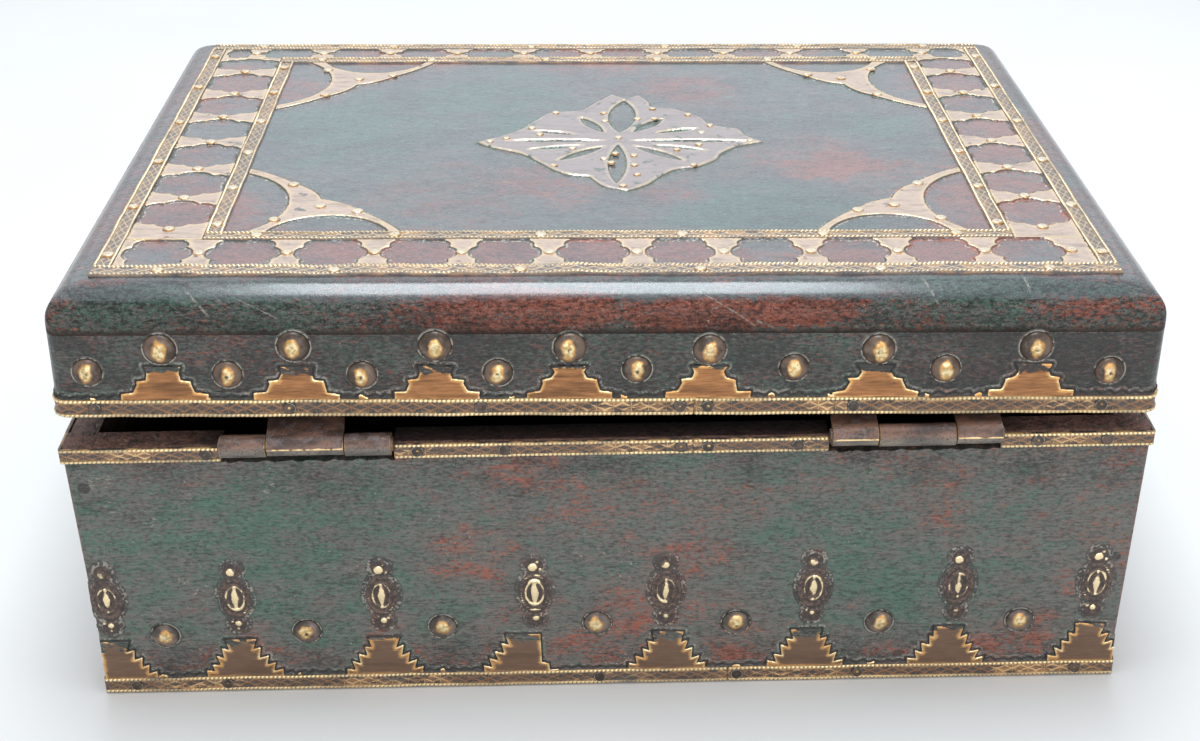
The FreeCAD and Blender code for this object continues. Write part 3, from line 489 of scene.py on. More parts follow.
# Where paint has lifted off the walls in pale crusts: x, y, z of the middle and the reach
wall_scars = (
    (-131, -105, 69, 7), (-128, -105, 60, 5), (-119, -105, 57, 5), (-98.8, -105, 76, 5),
    (-54.6, -105, 76, 5), (56.6, -105, 76, 5), (100.4, -105, 76, 5), (118, -105, 64, 5),
    (-88, -105, 66, 4), (-20, -105, 58, 3), (139, 40, 66, 7), (-139, -30, 62, 7), (60, 105, 68, 6),
)


def wall_red(w, place):
    """Redder towards the foot."""
    return w.step(w.axis(place, "Z"), 22 * mm, 7 * mm, 0.0, 0.8)


def wall_gloom(w, place):
    """Darker along the rim, and darker at the foot as a painted shade."""
    height = w.axis(place, "Z")
    rim = w.step(height, 48 * mm, 76 * mm, -0.15, 0.20)
    # The foot's darkening is painted shade
    return w.plus(rim, w.step(height, 22 * mm, 6 * mm, 0.0, 0.36))


def wall_crusts(w, place):
    """Ragged pale crusts about each scar, drawn out along the wall."""
    near = 0.0
    for *middle, reach in wall_scars:
        near = w.larger(near, w.step(w.apart(place, *middle), reach * mm, reach * mm * 0.2))
    ragged = w.noise(w.scaled(place, (0.45, 0.45, 1.0)), 900.0, 3.0, 0.6, 21.0)
    return w.times(w.step(w.times_plus(near, 0.12, ragged), 0.66, 0.74, 0.0, 0.55), near)


wall_paint = painted_wood(
    "painted_walls", (0.5, 0.5, 1.0), wall_gloom, relief_height=0.65, patchy=0.25, fleck=2.0,
    red=wall_red, scars=wall_crusts, mottled=0.55)


def half_length_at(side, up, on_lid=False):
    """Half the length of a face at a height; a leaning wall is shorter lower down."""
    half = SIDES[side][1]
    return half if on_lid else half - chest_lean * (1 - up / chest_height)


def board(side, thickness, height, edge, seed, on_lid=False, notches=()):
    """A flat board of one side, its edges worn round and its face slightly uneven.

    Out of the face: minus the quarter-round fall towards its edges, and minus a swing of
    a tenth of a millimetre. The long boards cover the ends of the short ones.
    """
    long_side = side in LONG_SIDES
    half = SIDES[side][1] if long_side else SIDES[side][1] - thickness
    cuts = [x for at in notches for x in np.linspace(at - notch_half, at + notch_half, 50)]
    end_edge = lid_corner_radius if on_lid and long_side else edge
    along = stations(half, 4.0, end_edge, cuts)
    lines = [notch_floor - height / 2] if notches else [height / 2 - drop for drop in (0.6, 1.2)]
    up = stations(height / 2, 4.0, edge, lines) + height / 2
    a, u = np.meshgrid(along, up, indexing="ij")
    to_end = half - np.abs(a) if long_side else np.full_like(a, end_edge)
    to_rim = np.minimum(u, height - u)
    out = -rounded_drop(to_end, end_edge) - rounded_drop(to_rim, edge)
    out = np.maximum(out, -thickness / 2)
    out -= 0.06 * (1 + wander(a, 61.0, seed) * wander(u, 43.0, seed + 2))
    keep = np.ones((len(along) - 1, len(up) - 1), bool)
    for x in notches:
        sill = (np.abs(a - x) < notch_half + 0.01) & (np.abs(u - notch_floor) < 0.01)
        u = np.where(sill, u - 0.85 - 0.45 * wander(a, 6.0, x), u)
        inside = (np.abs(along[:-1] + np.diff(along) / 2 - x) < notch_half)
        above = up[:-1] + np.diff(up) / 2 > notch_floor
        keep &= ~(inside[:, None] & above[None, :])
    wear = np.exp(-(height - u) / 2.2)
    if on_lid:
        wear = np.maximum(0.35 * wear, np.exp(-u / 1.5))
    if long_side:
        wear = np.maximum(wear, (0.4 if on_lid else 0.8) * np.exp(-to_end / 1.6))
    a = a * (half_length_at(side, u, on_lid) / SIDES[side][1])
    inner = np.ones_like(a)
    # The top row's inner value: zero on the lid; on the chest full along the middle and fading out
    # towards the ends, where it paints shade onto the rim top
    inner[:, -1] = 0 if on_lid else 1 - np.clip((np.abs(along) - half + 42) / 16, 0, 1)
    rim_painted_shade = np.zeros_like(a)
    rim_painted_shade[:, -1] = inner[:, -1] * 0.8
    seam = np.exp(-(height - u) / 0.35) if on_lid else np.zeros_like(a)
    for x in notches:
        past = np.hypot(np.clip(np.abs(a - x) - notch_half, 0, None), np.clip(notch_floor - u, 0, None))
        seam = np.maximum(seam, np.exp(-past / 0.8))
    plate = slab(a, u, out, np.full_like(out, -thickness), {
        "wear": (wear, wear), "inner": (rim_painted_shade, inner), "seam": (seam, seam)}, keep)
    return put_down(plate, side, on_lid, wraps=False)


wall_height = math.hypot(chest_height, chest_lean)
for number, side in enumerate(SIDES):
    notches = tuple(hinge_places.values()) if side == "back" else ()
    wall = board(side, wall_thickness, wall_height - 0.02, wall_edge_wear, number, notches=notches)
    make_piece("painted_wall_" + side, "chest", "painted_wood", [wall], wall_paint,
               "chest_" + side + "_wall")

# The floor board and the carpenter's nails
# A board of the same wood, left unpainted, let in between the walls and held by iron
# nails whose flat heads are hammered flush. The paint hides most of them.
dark_wood, w, shader, place = new_material("unpainted_floor_wood")
fibre = w.noise(w.scaled(place, (0.06, 1.0, 1.0)), 380.0, 5.0, 0.65, 2.0)
ring = w.noise(w.scaled(place, (0.08, 1.0, 1.0)), 60.0, 2.0, 0.4, 7.0)
tone = w.blend(w.step(fibre, 0.3, 0.7), (0.050, 0.028, 0.018), (0.105, 0.062, 0.038))
surface(w, shader, fibre, 0.5, 0.3, Roughness=w.step(fibre, 0.2, 0.8, 0.65, 0.9),
        Base_Color=w.blend(w.step(ring, 0.45, 0.6, 0.0, 0.5), tone, wood_inside))

old_iron, w, shader, place = new_material("painted_over_iron_nails")
paint = use_group(w, aged_paint, Place=place, Gloom=0.5)
rust = w.noise(place, 900.0, 4.0, 0.6, 3.0)
iron = w.step(rust, 0.58, 0.66)
surface(w, shader, w.plus(paint["Height"], rust), 0.6, 0.3, Metallic=w.times(iron, 0.5),
        Base_Color=w.blend(iron, paint["Color"], (0.09, 0.045, 0.03)),
        Roughness=w.step(rust, 0.3, 0.7, 0.4, 0.7))


def refinish(node, material):
    """Gives a carried-over solid a new material."""
    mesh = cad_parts[node].data
    mesh.materials.clear()
    mesh.materials.append(material)


refinish("chest_floor", dark_wood)
refinish("chest_joint_nails", old_iron)
refinish("lid_joint_nails", old_iron)

# The lid's rails and its thick board
# Four straight rails under one board whose top edges are planed to a wide round. Paint
# runs over the seam between them and has cracked along it. The round is rubbed bright,
# and the top and the round's upper side carry a pale bluish painted sheen.
lid_rail_height = 22.6
lid_board_thickness = 11.4
lid_edge_radius = 9.4
lid_height = lid_rail_height + lid_board_thickness
seam_wear = 0.25
# How red or green the round turns: x, the way up it from the seam, the reach along it
round_patches = (
    (-124, 5, 22, -0.3), (-85, 4, 24, -0.2), (-56, 5, 14, 0.2), (-22, 8, 34, 1.5), (-24, 3, 22, -0.7),
    (22, 6, 22, 1.9), (50, 7, 20, 1.3), (36, 3, 12, 0.7), (118, 6, 14, 0.9), (134, 8, 10, 0.5),
    (-113, 15, 20, -0.8), (-124, 21, 9, 1.2), (-86, 15, 18, -0.4), (-46, 19, 26, 0.2), (5, 18, 26, -0.5),
    (56, 16, 22, -0.9), (93, 15, 26, -1.1), (113, 20, 9, 1.2), (121, 13, 12, -0.6),
)
# Cuts in the round: from x and way up to x and way up, and their width
round_scratches = (
    (22.0, 14.5, 36.5, 2.0, 0.34), (37.0, 3.5, 43.0, 0.5, 0.5), (78.5, 19.0, 82.0, 7.0, 0.55),
    (26.0, 7.5, 31.5, 9.5, 0.4), (-104.0, 17.5, -98.0, 8.0, 0.5), (-92.0, 14.0, -81.0, 6.5, 0.3),
    (104.0, 18.5, 105.0, 11.0, 0.5), (-62.0, 16.0, -50.0, 12.5, 0.25),
)
round_stretch = 3.0


def up_the_round(w, place):
    """A flat map of the back edge's round: along, and the way up and over from the seam."""
    start = chest_height + lid_back_gap + lid_rail_height - chest_depth / 2
    way = w.plus(w.plus(w.axis(place, "Z"), w.axis(place, "Y")), -start * mm)
    return w.axis(place, "X"), way


def round_red(w, place):
    """The round's red and green patches, their edges made ragged by noise."""
    along, way = up_the_round(w, place)
    laid = w.flat_map(along, w.times(way, round_stretch))
    ragged = w.noise(w.scaled(place, (0.5, 1.0, 1.0)), 260.0, 3.0, 0.6, 30.0)
    ragged = w.times_plus(ragged, 8 * mm, -4 * mm)
    lean = 0.0
    for x, up, reach, strength in round_patches:
        apart = w.plus(w.apart(laid, x, up * round_stretch, 0.0), ragged)
        lean = w.plus(lean, w.step(apart, reach * mm * 0.45, reach * mm, strength, 0.0))
    return w.times(lean, w.step(w.axis(place, "Y"), -92 * mm, -97 * mm))


def upper_side(w, place):
    """A ragged mask: one on the top and the upper half of the round, none below."""
    ragged = w.noise(w.scaled(place, (0.4, 1.0, 1.0)), 330.0, 4.0, 0.65, 33.0)
    return w.step(w.times_plus(ragged, 0.9, w.mark("gloss")), 1.02, 1.30)


def round_scars(w, place):
    """Straight cuts, and combed strokes in arcs about a point, all broken by noise."""
    along, way = up_the_round(w, place)
    broken = w.noise(place, 900.0, 3.0, 0.6, 22.0)
    found = 0.0
    for x0, up0, x1, up1, width in round_scratches:
        length = math.hypot(x1 - x0, up1 - up0)
        to_x, to_up = (x1 - x0) / length, (up1 - up0) / length
        run = w.times_plus(way, to_up, -(x0 * to_x + up0 * to_up) * mm)
        run = w.times_plus(along, to_x, run)
        off = w.times_plus(way, to_x, (x0 * to_up - up0 * to_x) * mm)
        off = w.plus(w.times_plus(along, -to_up, off), -0.3 * mm)
        off = w.math("ABSOLUTE", w.times_plus(broken, 0.6 * mm, off))
        line = w.times(w.step(off, width * mm, width * mm * 0.4), w.step(run, -mm, 0.5 * mm))
        line = w.times(line, w.step(run, (length + 1) * mm, (length - 0.5) * mm))
        found = w.larger(found, line)
    laid = w.flat_map(along, way)
    combed = w.flat_map(w.apart(laid, -66, 36, 0), w.times(along, 0.06))
    strokes = w.step(w.noise(combed, 1500.0, 2.0, 0.5, 23.0), 0.58, 0.66, 0.0, 0.55)
    strokes = w.times(strokes, w.step(w.apart(laid, -84, 12, 0), 20 * mm, 8 * mm))
    found = w.times(w.larger(found, strokes), w.step(broken, 0.42, 0.56, 0.08, 0.6))
    return w.times(found, w.step(w.axis(place, "Y"), -93 * mm, -97 * mm))


def rail_gloom(w, place):
    """Darker at the right end."""
    return w.step(w.axis(place, "X"), 50 * mm, 110 * mm, 0.38, 0.62)


def by_upper_side(low, high):
    """A mask that is low under the round and high above it."""
    return lambda w, place: w.lerp(upper_side(w, place), low, high)


def by_flat(low, high):
    """A mask that is low on the round and high on the flat top."""
    return lambda w, place: w.lerp(w.mark("flat"), low, high)


rail_paint = painted_wood(
    "painted_lid_rails", (0.45, 0.45, 1.0), rail_gloom, coat=0.45, relief_height=2.4,
    patchy=0.5, fleck=4.2, mottled=0.9)
# On the top and the round's upper side, sheen mixes a pale bluish painted sheen into the colour
board_paint = painted_wood(
    "painted_lid_board", (0.45, 0.8, 1.0), by_upper_side(0.20, 0.14),
    coat=by_upper_side(0.08, 1.0), relief_height=1.9, patchy=0.72, fleck=by_flat(4.6, 1.6),
    red=round_red, sheen=by_upper_side(0.0, 0.30), scars=round_scars, shine=0.18,
    mottled=by_flat(0.80, 0.2), inside_grain=(0.05, 1.0, 1.0), lumps=by_flat(9.0, 0.2),
    coat_rough=0.18)

for number, side in enumerate(SIDES):
    rail = board(side, wall_thickness, lid_rail_height, seam_wear, number + 5, on_lid=True)
    make_piece("painted_rail_" + side, "lid", "painted_wood", [rail], rail_paint,
               "lid_" + side + "_rail")


def lid_board_surface():
    """The lid's board as a height over its plan.

    e joins the distances a and b to the two nearest edges: (a^-3 + b^-3)^(-1/3). The top
    falls by r - sqrt(r^2 - (r - e)^2), less a slight hand-planed swing. The corners of
    the grid's squares are drawn in to quarter discs.
    """
    extra = lid_edge_radius * (1 - np.cos(np.radians(np.arange(4, 90, 7))))
    lines = []
    for half in (chest_length / 2, chest_depth / 2):
        even = stations(half, 6.0, lid_edge_radius)
        lines.append(np.unique(np.concatenate([even, extra - even[-1], even[-1] - extra]).round(3)))
    x, y = np.meshgrid(*lines, indexing="ij")
    to_x = chest_length / 2 - np.abs(x)
    to_y = chest_depth / 2 - np.abs(y)
    e = (np.maximum(to_x, 1e-4) ** -3 + np.maximum(to_y, 1e-4) ** -3) ** (-1 / 3)
    drop = rounded_drop(e, lid_edge_radius)
    swing = 0.10 * (1 + wander(x, 97.0, 1) * wander(y, 71.0, 4)) * np.clip(e / 3, 0, 1)
    top = lid_height - drop - swing
    wear = 0.25 * np.exp(-((drop - 2.0) / 3.0) ** 2)
    bottom = np.full_like(top, lid_rail_height)
    in_x = np.clip(1 - to_x / lid_corner_radius, 0, 1)
    in_y = np.clip(1 - to_y / lid_corner_radius, 0, 1)
    x = x - np.sign(x) * lid_corner_radius * in_x * (1 - np.sqrt(1 - in_y ** 2 / 2))
    y = y - np.sign(y) * lid_corner_radius * in_y * (1 - np.sqrt(1 - in_x ** 2 / 2))
    none = np.zeros_like(x)
    seam = np.where(drop > lid_edge_radius - 0.1, 0.8, 0.0)
    flat = np.clip((e - 8.0) / 4.0, 0, 1)
    gloss = 0.22 + 0.78 * np.clip((5.0 - drop) / 2.8, 0, 1)
    return slab(x, y, top, bottom, {
        "wear": (wear, none), "inner": (none, np.ones_like(x)), "seam": (seam, none),
        "flat": (flat, none), "gloss": (gloss, none)})


make_piece("painted_lid_board", "lid", "painted_wood",
           [put_down(lid_board_surface(), on_lid=True)], board_paint, "lid_board")

# The beaded brass bands
# Narrow stamped brass strip with a row of beads along each edge and a chain of lozenges
# between, nailed round the foot, the rim, the lid's lower edge and in two frames on its
# top. It is dark with tarnish that a painted sheen lightens, and only the beads and raised
# lines are rubbed bright. On the top frames a grey painted haze lies over the metal.
band_thickness = 0.9
bead_pitch = 1.15
lozenge_pitch = 4.4
foot_band = (0.3, 4.8)
rim_band = (wall_height - 4.2, 4.2)
lid_edge_band = (0.0, 4.9)
top_band_width = 4.7
band_gap = 0.15
# Across the band: share of width, share of thickness, and how much a bead adds there
band_profile_shares = np.array([
    (0.00, -0.10, 0.0), (0.00, 0.50, 0.0), (0.02, 0.58, 0.18), (0.055, 0.62, 0.32),
    (0.11, 0.63, 0.36), (0.165, 0.60, 0.30), (0.21, 0.46, 0.0), (0.30, 0.42, 0.0),
    (0.40, 0.44, 0.0), (0.50, 0.46, 0.0), (0.60, 0.44, 0.0), (0.70, 0.42, 0.0),
    (0.79, 0.46, 0.0), (0.835, 0.60, 0.30), (0.89, 0.63, 0.36), (0.945, 0.62, 0.32),
    (0.98, 0.58, 0.18), (1.00, 0.50, 0.0), (1.00, -0.10, 0.0),
])


def beaded_band(start, stop, low, width, seed, wave, lifted=0.06):
    """A strip swept along: its profile, with beads as a sine lifted at every pitch.

    Its edges wander by wave, it stands slightly off the wood between its nails, and both
    ends are closed.
    """
    count = max(int(round((stop - start) / bead_pitch)), 2) * 4
    along = np.linspace(start, stop, count + 1)
    share, thick, bead = band_profile_shares.T
    bead_wave = np.abs(np.sin(np.pi * (along - start) / (stop - start) * count / 4))
    a, t = np.meshgrid(along, share, indexing="ij")
    to_end = np.minimum(along - start, stop - along)[:, None]
    drift = wave * wander(along, 47.0, seed)[:, None] * np.clip(to_end / 6, 0, 1)
    pinch = 1 + 0.03 * wander(along, 31.0, seed + 3)[:, None]
    up = low + width * (0.5 + (t - 0.5) * np.minimum(pinch, 1.0)) + drift
    lift = np.clip(wander(along, 24.0, seed + 7) + 0.2, 0, 1)[:, None] * lifted
    out = band_thickness * (thick[None] + bead[None] * bead_wave[:, None] + lift * (thick[None] > 0))
    out = np.where(out > 0, out * (1 - 0.45 * np.clip(1 - to_end / 0.8, 0, 1) ** 2), out)
    rows, columns = a.shape
    index = np.arange(rows * columns).reshape(rows, columns)
    nearer, farther = index[:-1], index[1:]
    quads = np.stack([
        nearer, farther, np.roll(farther, -1, axis=1), np.roll(nearer, -1, axis=1)], axis=-1)
    ends = np.stack([index[0], index[-1][::-1]])
    points = np.stack([a, up, out], axis=-1).reshape(-1, 3)
    marks = {
        "along": a.ravel() + 1000 * seed,
        "across": t.ravel(),
        "bead": (bead[None] / 0.36 * (0.45 + 0.55 * bead_wave[:, None])).ravel(),
    }
    return points, [quads.reshape(-1, 4), ends], marks


brass_bright = (0.95, 0.77, 0.45)
brass_rubbed = (0.84, 0.62, 0.32)
brass_mid = (0.50, 0.31, 0.13)
brass_copper = (0.42, 0.20, 0.085)
brass_dark = (0.050, 0.033, 0.024)
# A grey haze of reflected light, painted over the brass on the lid's top
painted_top_haze = (0.34, 0.32, 0.34)


def build_lozenges():
    """Two zigzags out of step that cross into a chain of lozenges, with a bar at each knot."""
    tree, given, out = new_group("lozenge_chain", (
        ("Along", "Float", 0.0), ("Across", "Float", 0.5),
    ), (("Line", "Float"),))
    w = Wiring(tree)
    share = w.math("DIVIDE", given["Along"], lozenge_pitch)
    swing = w.math("PINGPONG", share, 1.0)
    level = w.step(given["Across"], 0.22, 0.78)
    one = w.math("ABSOLUTE", w.math("SUBTRACT", level, swing))
    other = w.math("ABSOLUTE", w.math("SUBTRACT", level, w.math("SUBTRACT", 1.0, swing)))
    knot = w.math("ABSOLUTE", w.math("SUBTRACT", w.math("FRACT", share), 0.5))
    bar = w.times(knot, 5.0)
    line = w.step(w.math("MINIMUM", w.math("MINIMUM", one, other), bar), 0.17, 0.05)
    middle = w.between(given["Across"], 0.18, 0.24, 0.82, 0.76)
    w.feed(out["Line"], w.times(line, middle))
    return tree


lozenges = build_lozenges()


def band_brass(name, brightness, overpaint, sheen, beads=1.0, lines=0.0, painted_haze=0.0):
    """Stamped brass: bright beads, a tarnished ground lit up by a painted sheen, and lines
    rubbed up only in lengths.
    """
    material, w, shader, place = new_material(name)
    across, bead = w.mark("across"), w.mark("bead")
    chain = use_group(w, lozenges, Along=w.mark("along"), Across=across)
    patch = w.noise(place, 70.0, 3.0, 0.6, 8.0)
    patch = w.step(patch, 0.60 - 0.3 * brightness, 0.70 - 0.2 * brightness)
    rubbed = w.step(w.noise(place, 30.0, 2.0, 0.5, 3.0), 0.48, 0.62)
    fine = w.noise(place, 1500.0, 2.0, 0.5, 2.0)
    smear = w.noise(w.scaled(place, (0.25, 0.25, 1.0)), 900.0, 3.0, 0.6, 13.0)
    raised = w.times(chain["Line"], w.times_plus(fine, 1.2, 0.2))
    # The ground is tarnish, made lighter by sheen as a painted sheen
    ground = tuple(0.030 + sheen * c for c in (0.050, 0.040, 0.036))
    color = w.blend(w.step(fine, 0.35, 0.65), shade(ground, 0.5), ground)
    warm = w.times(w.step(smear, 0.42, 0.60), w.times_plus(rubbed, 0.60, 0.14))
    hot = w.times(w.times(w.step(smear, 0.42, 0.54), rubbed), 0.8)
    by_beads = w.step(w.math("ABSOLUTE", w.plus(across, -0.5)), 0.16, 0.32)
    glow = w.times(by_beads, w.step(smear, 0.40, 0.56))
    color = w.layered(
        color, (warm, brass_copper),
        (w.times(raised, w.times_plus(patch, 0.5, 0.16)), brass_copper),
        (w.times(raised, w.larger(hot, lines)), brass_rubbed),
        (w.times(glow, w.step(across, 0.4, 0.7, 0.35, 0.85)), brass_mid))
    dulled = w.noise(w.scaled(place, (1.0, 1.0, 2.5)), 34.0, 3.0, 0.6, 41.0)
    dulled = w.step(dulled, 0.40, 0.54, 0.45, 1.0)
    upper = w.times(w.step(across, 0.4, 0.6, 0.80, 1.0), dulled)
    crown = w.times(w.step(bead, 0.14, 0.42), upper)
    crown = w.times(crown, w.step(fine, 0.22, 0.42, 0.7 * beads, beads))
    color = w.blend(crown, color, w.blend(w.step(bead, 0.40, 0.80), brass_mid, brass_bright))
    paint = use_group(w, aged_paint, Place=place, Gloom=0.35)
    # painted_haze lays a grey painted haze of reflected light over the metal
    color = w.blend(painted_haze, color, painted_top_haze)
    cover = w.times(w.step(w.noise(place, 52.0, 2.0, 0.5, 5.0), 0.58, 0.68), overpaint)
    cover = w.times(cover, w.step(crown, 0.9, 0.4, 0.35, 1.0))
    metal = w.times_plus(w.larger(crown, w.times(raised, 0.5)), 0.70, 0.15)
    surface(w, shader, w.times_plus(fine, 0.35, raised), 0.8, 0.16,
            Base_Color=w.blend(cover, color, paint["Color"]), Metallic=w.lerp(cover, metal, 0.0),
            Roughness=w.lerp(crown, 0.42, 0.30), Coat_Weight=min(sheen / 5, 0.8), Coat_Roughness=0.2)
    return material


lid_band_brass = band_brass("beaded_brass_lid_edge", brightness=1.15, overpaint=0.35, sheen=0.8)
chest_band_brass = band_brass("beaded_brass_chest", brightness=0.95, overpaint=0.5, sheen=1.1)
top_band_brass = band_brass(
    "beaded_brass_lid_top", brightness=1.2, overpaint=0.25, sheen=1.4, beads=0.85, lines=0.6,
    painted_haze=0.20)

back_notches = [(x - notch_half, x + notch_half) for x in hinge_places.values()]
seam_shares = {"rim": 0.155, "foot": 0.231, "lid_edge": 0.155}
# How far a band passes the end of its face: a long side, the lid's short and the chest's
long_side_over = band_thickness * 0.6
lid_side_over = -2.35
chest_side_over = -0.05


def band_lengths(side, kind, low, width, on_lid):
    """Where each length of a band starts and stops along one side."""
    stops, over = [], lid_side_over if on_lid else chest_side_over
    if side in LONG_SIDES:
        over = long_side_over
        seam = seam_shares[kind] * SIDES[side][1]
        stops.append((seam - band_gap / 2, seam + band_gap / 2))
    if side == "back" and kind == "rim":
        stops = sorted(stops + back_notches)
    half = half_length_at(side, low + width / 2, on_lid) + over
    edges = [-half] + [x for stop in stops for x in stop] + [half]
    return list(zip(edges[::2], edges[1::2]))


for kind, (low, width), body, material in (
    ("foot", foot_band, "chest", chest_band_brass), ("rim", rim_band, "chest", chest_band_brass),
    ("lid_edge", lid_edge_band, "lid", lid_band_brass),
):
    on_lid = body == "lid"
    wave = 0.0 if kind == "rim" else 0.14
    for number, side in enumerate(SIDES):
        lengths = []
        for i, (start, stop) in enumerate(band_lengths(side, kind, low, width, on_lid)):
            strip = beaded_band(start, stop, low, width, number * 5 + i + len(kind), wave)
            lengths.append(put_down(strip, side, on_lid))
        node = kind + "_band_" + side
        make_piece("beaded_" + node, body, "beaded_brass_band", lengths, material, node)

# Frames of band on the lid's top
# The same strip in an outer and an inner rectangle. The lengths along the hinged side and
# the far side run through, and the side lengths butt against them, cut square.
top_margin = 10.2
border_width = 17.6
border_side_width = 18.8
fret_gap = 0.1
inner_shift_x = 0.9
inner_shift_y = 4.0
near_extra = 1.1
outer_x = chest_length / 2 - top_margin + fret_gap
outer_y = chest_depth / 2 - top_margin
inner_x = outer_x - top_band_width - border_side_width
inner_y = outer_y - top_band_width - border_width
top_frames = {
    "outer": ((-outer_x, -outer_y), (outer_x, outer_y)),
    "inner": ((-inner_x + inner_shift_x, -inner_y),
              (inner_x + inner_shift_x, inner_y + 2 * inner_shift_y)),
}


def on_top(part, quarter=0, centre=(0.0, 0.0), above=0.0):
    """Flat work laid on the lid's top, turned by quarter turns."""
    points, faces, marks = part
    points = rotated(points, 2, quarter * math.pi / 2) + [*centre, above + lid_height - 0.1]
    return set_down(points, on_lid=True), faces, marks


for name, ((x0, y0), (x1, y1)) in top_frames.items():
    width = top_band_width
    for number, (side, start, stop, at, quarter) in enumerate((
        ("back", x0, x1, (0, y0), 0), ("front", x0, x1, (0, y1 - width), 0),
        ("left", y0 + width, y1 - width, (x0 + width, 0), 1),
        ("right", y0 + width, y1 - width, (x1, 0), 1),
    )):
        seed = number * 3 + len(name) + 20
        if name == "outer" and side == "back":
            strip = beaded_band(start, stop, 0.0, width + near_extra, seed, wave=0.42, lifted=0.35)
        else:
            strip = beaded_band(start, stop, 0.0, width, seed, wave=0.14, lifted=0.1)
        make_piece(
            "beaded_" + name + "_frame_" + side, "lid", "beaded_brass_band",
            [on_top(strip, quarter, at)], top_band_brass, "lid_" + name + "_band_" + side)

# The stepped crests
# Thin sheet brass cut by hand with a knife into stepped pyramids on a narrow strip with
# small points between. Their lower edge is tucked under the band. Paint has built up
# round every edge, and the raised edges of the sheet are rubbed bright and carry a
# painted highlight.
sheet_thickness = 0.5
skirt = 1.6
crust_at = 0.85
crest_shares = {
    "lid": (-0.797, -0.560, -0.309, -0.069, 0.180, 0.483, 0.765),
    "chest": (-0.962, -0.716, -0.442, -0.174, 0.111, 0.383, 0.659, 0.936),
    "sides": (-0.80, -0.40, 0.0, 0.40, 0.80),
}
lid_crest_inset = 0.95
# The pyramid on the back whose right half is cut off, and the steps that are left of it
cut_off_share = -0.174
cut_off_steps = ((7.6, 0.0), (7.4, 0.18), (5.5, 0.22), (5.3, 1.0))
lid_pyramid_shares = (
    (0.98, 0.0), (1.0, 0.16), (0.70, 0.21), (0.61, 0.47),
    (0.64, 0.55), (0.40, 0.59), (0.34, 0.78), (0.41, 0.97),
)
chest_pyramid_shares = (
    (1.00, 0.0), (1.02, 0.16), (0.76, 0.10), (0.84, 0.35), (0.60, 0.28),
    (0.67, 0.55), (0.45, 0.48), (0.52, 0.77), (0.32, 0.70), (0.40, 1.0),
)
crest_kinds = {
    "lid": (4.9, 9.2, 10.9, lid_pyramid_shares),
    "chest": (5.1, 12.3, 10.4, chest_pyramid_shares),
}


def outline_reach(points, loops):
    """Signed distance in from the nearest outline edge, and that edge's nearest point.

    Inside is by the even-odd rule: a point is inside if a ray along +x crosses the
    outlines an odd number of times.
    """
    best = np.full(len(points), 1e9)
    nearest = np.zeros((len(points), 2))
    crossed = np.zeros(len(points), int)
    px, py = points.T
    for loop in loops:
        for (ax, ay), (bx, by) in zip(loop, np.roll(loop, -1, axis=0)):
            dx, dy = bx - ax, by - ay
            size = dx * dx + dy * dy
            if size < 1e-12:
                continue
            t = np.clip(((px - ax) * dx + (py - ay) * dy) / size, 0, 1)
            on_edge = np.stack([ax + t * dx, ay + t * dy], axis=1)
            away = ((points - on_edge) ** 2).sum(axis=1)
            closer = away < best
            best[closer], nearest[closer] = away[closer], on_edge[closer]
            if dy:
                crossed += ((ay > py) != (by > py)) & (px < ax + (py - ay) / dy * dx)
    return np.where(crossed % 2 == 1, 1, -1) * np.sqrt(best), nearest


def relief(loops, cell, seed, box=None, swell=None, rim_lift=0.10, hidden=None):
    """A sheet of brass as a height over a fine grid.

    d is the signed distance in from the cut edge. The sheet stands at its thickness,
    with a slightly raised rim; outside it lie a groove, a ragged crust of old paint and
    its slope into the wood. Grid points near the edge move onto it, so the cut is clean.
    """
    every = np.concatenate(loops)
    low, high = every.min(0) - skirt, every.max(0) + skirt
    if box is not None:
        low, high = np.maximum(low, box[0]), np.minimum(high, box[1])
    counts = np.maximum(((high - low) / cell).astype(int), 2)
    a, u = np.meshgrid(*[np.linspace(*ends) for ends in zip(low, high, counts)], indexing="ij")
    flat = np.stack([a.ravel(), u.ravel()], axis=1)
    d, nearest = outline_reach(flat, loops)
    snap = np.abs(d) < cell * 0.42
    if box is not None:
        edge = np.minimum(flat - box[0], np.asarray(box[1]) - flat).min(1)
        snap &= edge > cell * 0.5
    flat[snap] = nearest[snap]
    d[snap] = 0.0
    ragged = 0.12 * wander(flat[:, 0] + flat[:, 1], 3.1, seed)
    plate = sheet_thickness * (0.85 + rim_lift * np.exp(-((d - 0.35) / 0.3) ** 2))
    plate += 0.05 * wander(flat[:, 0], 11.0, seed) * wander(flat[:, 1], 7.0, seed)
    uneven = 0.65 + 0.35 * wander(flat[:, 0] - 1.3 * flat[:, 1], 4.7, seed + 2)
    crust = 0.30 * uneven * np.exp(-((d + crust_at + ragged) / 0.30) ** 2)
    paint = crust + 0.16 * np.exp(d / 0.15) + 0.02 - 0.22 * np.clip(-d / skirt, 0, 1) ** 2
    out = np.where(d >= 0, plate, paint)
    if swell is not None:
        out = out + np.where(d > 0, swell(flat, d), 0.0)
    out = np.maximum(out, -0.2).reshape(a.shape)
    reach = d.reshape(a.shape)
    near = np.maximum.reduce([reach[:-1, :-1], reach[1:, :-1], reach[1:, 1:], reach[:-1, 1:]])
    hide = hidden(flat).reshape(a.shape) if hidden else np.zeros_like(out)
    a, u = flat.T.reshape(2, *a.shape)
    marks = {"rim": (reach, reach), "hide": (hide, hide)}
    return slab(a, u, out, np.full_like(out, -0.25), marks, near > -skirt * 0.9)


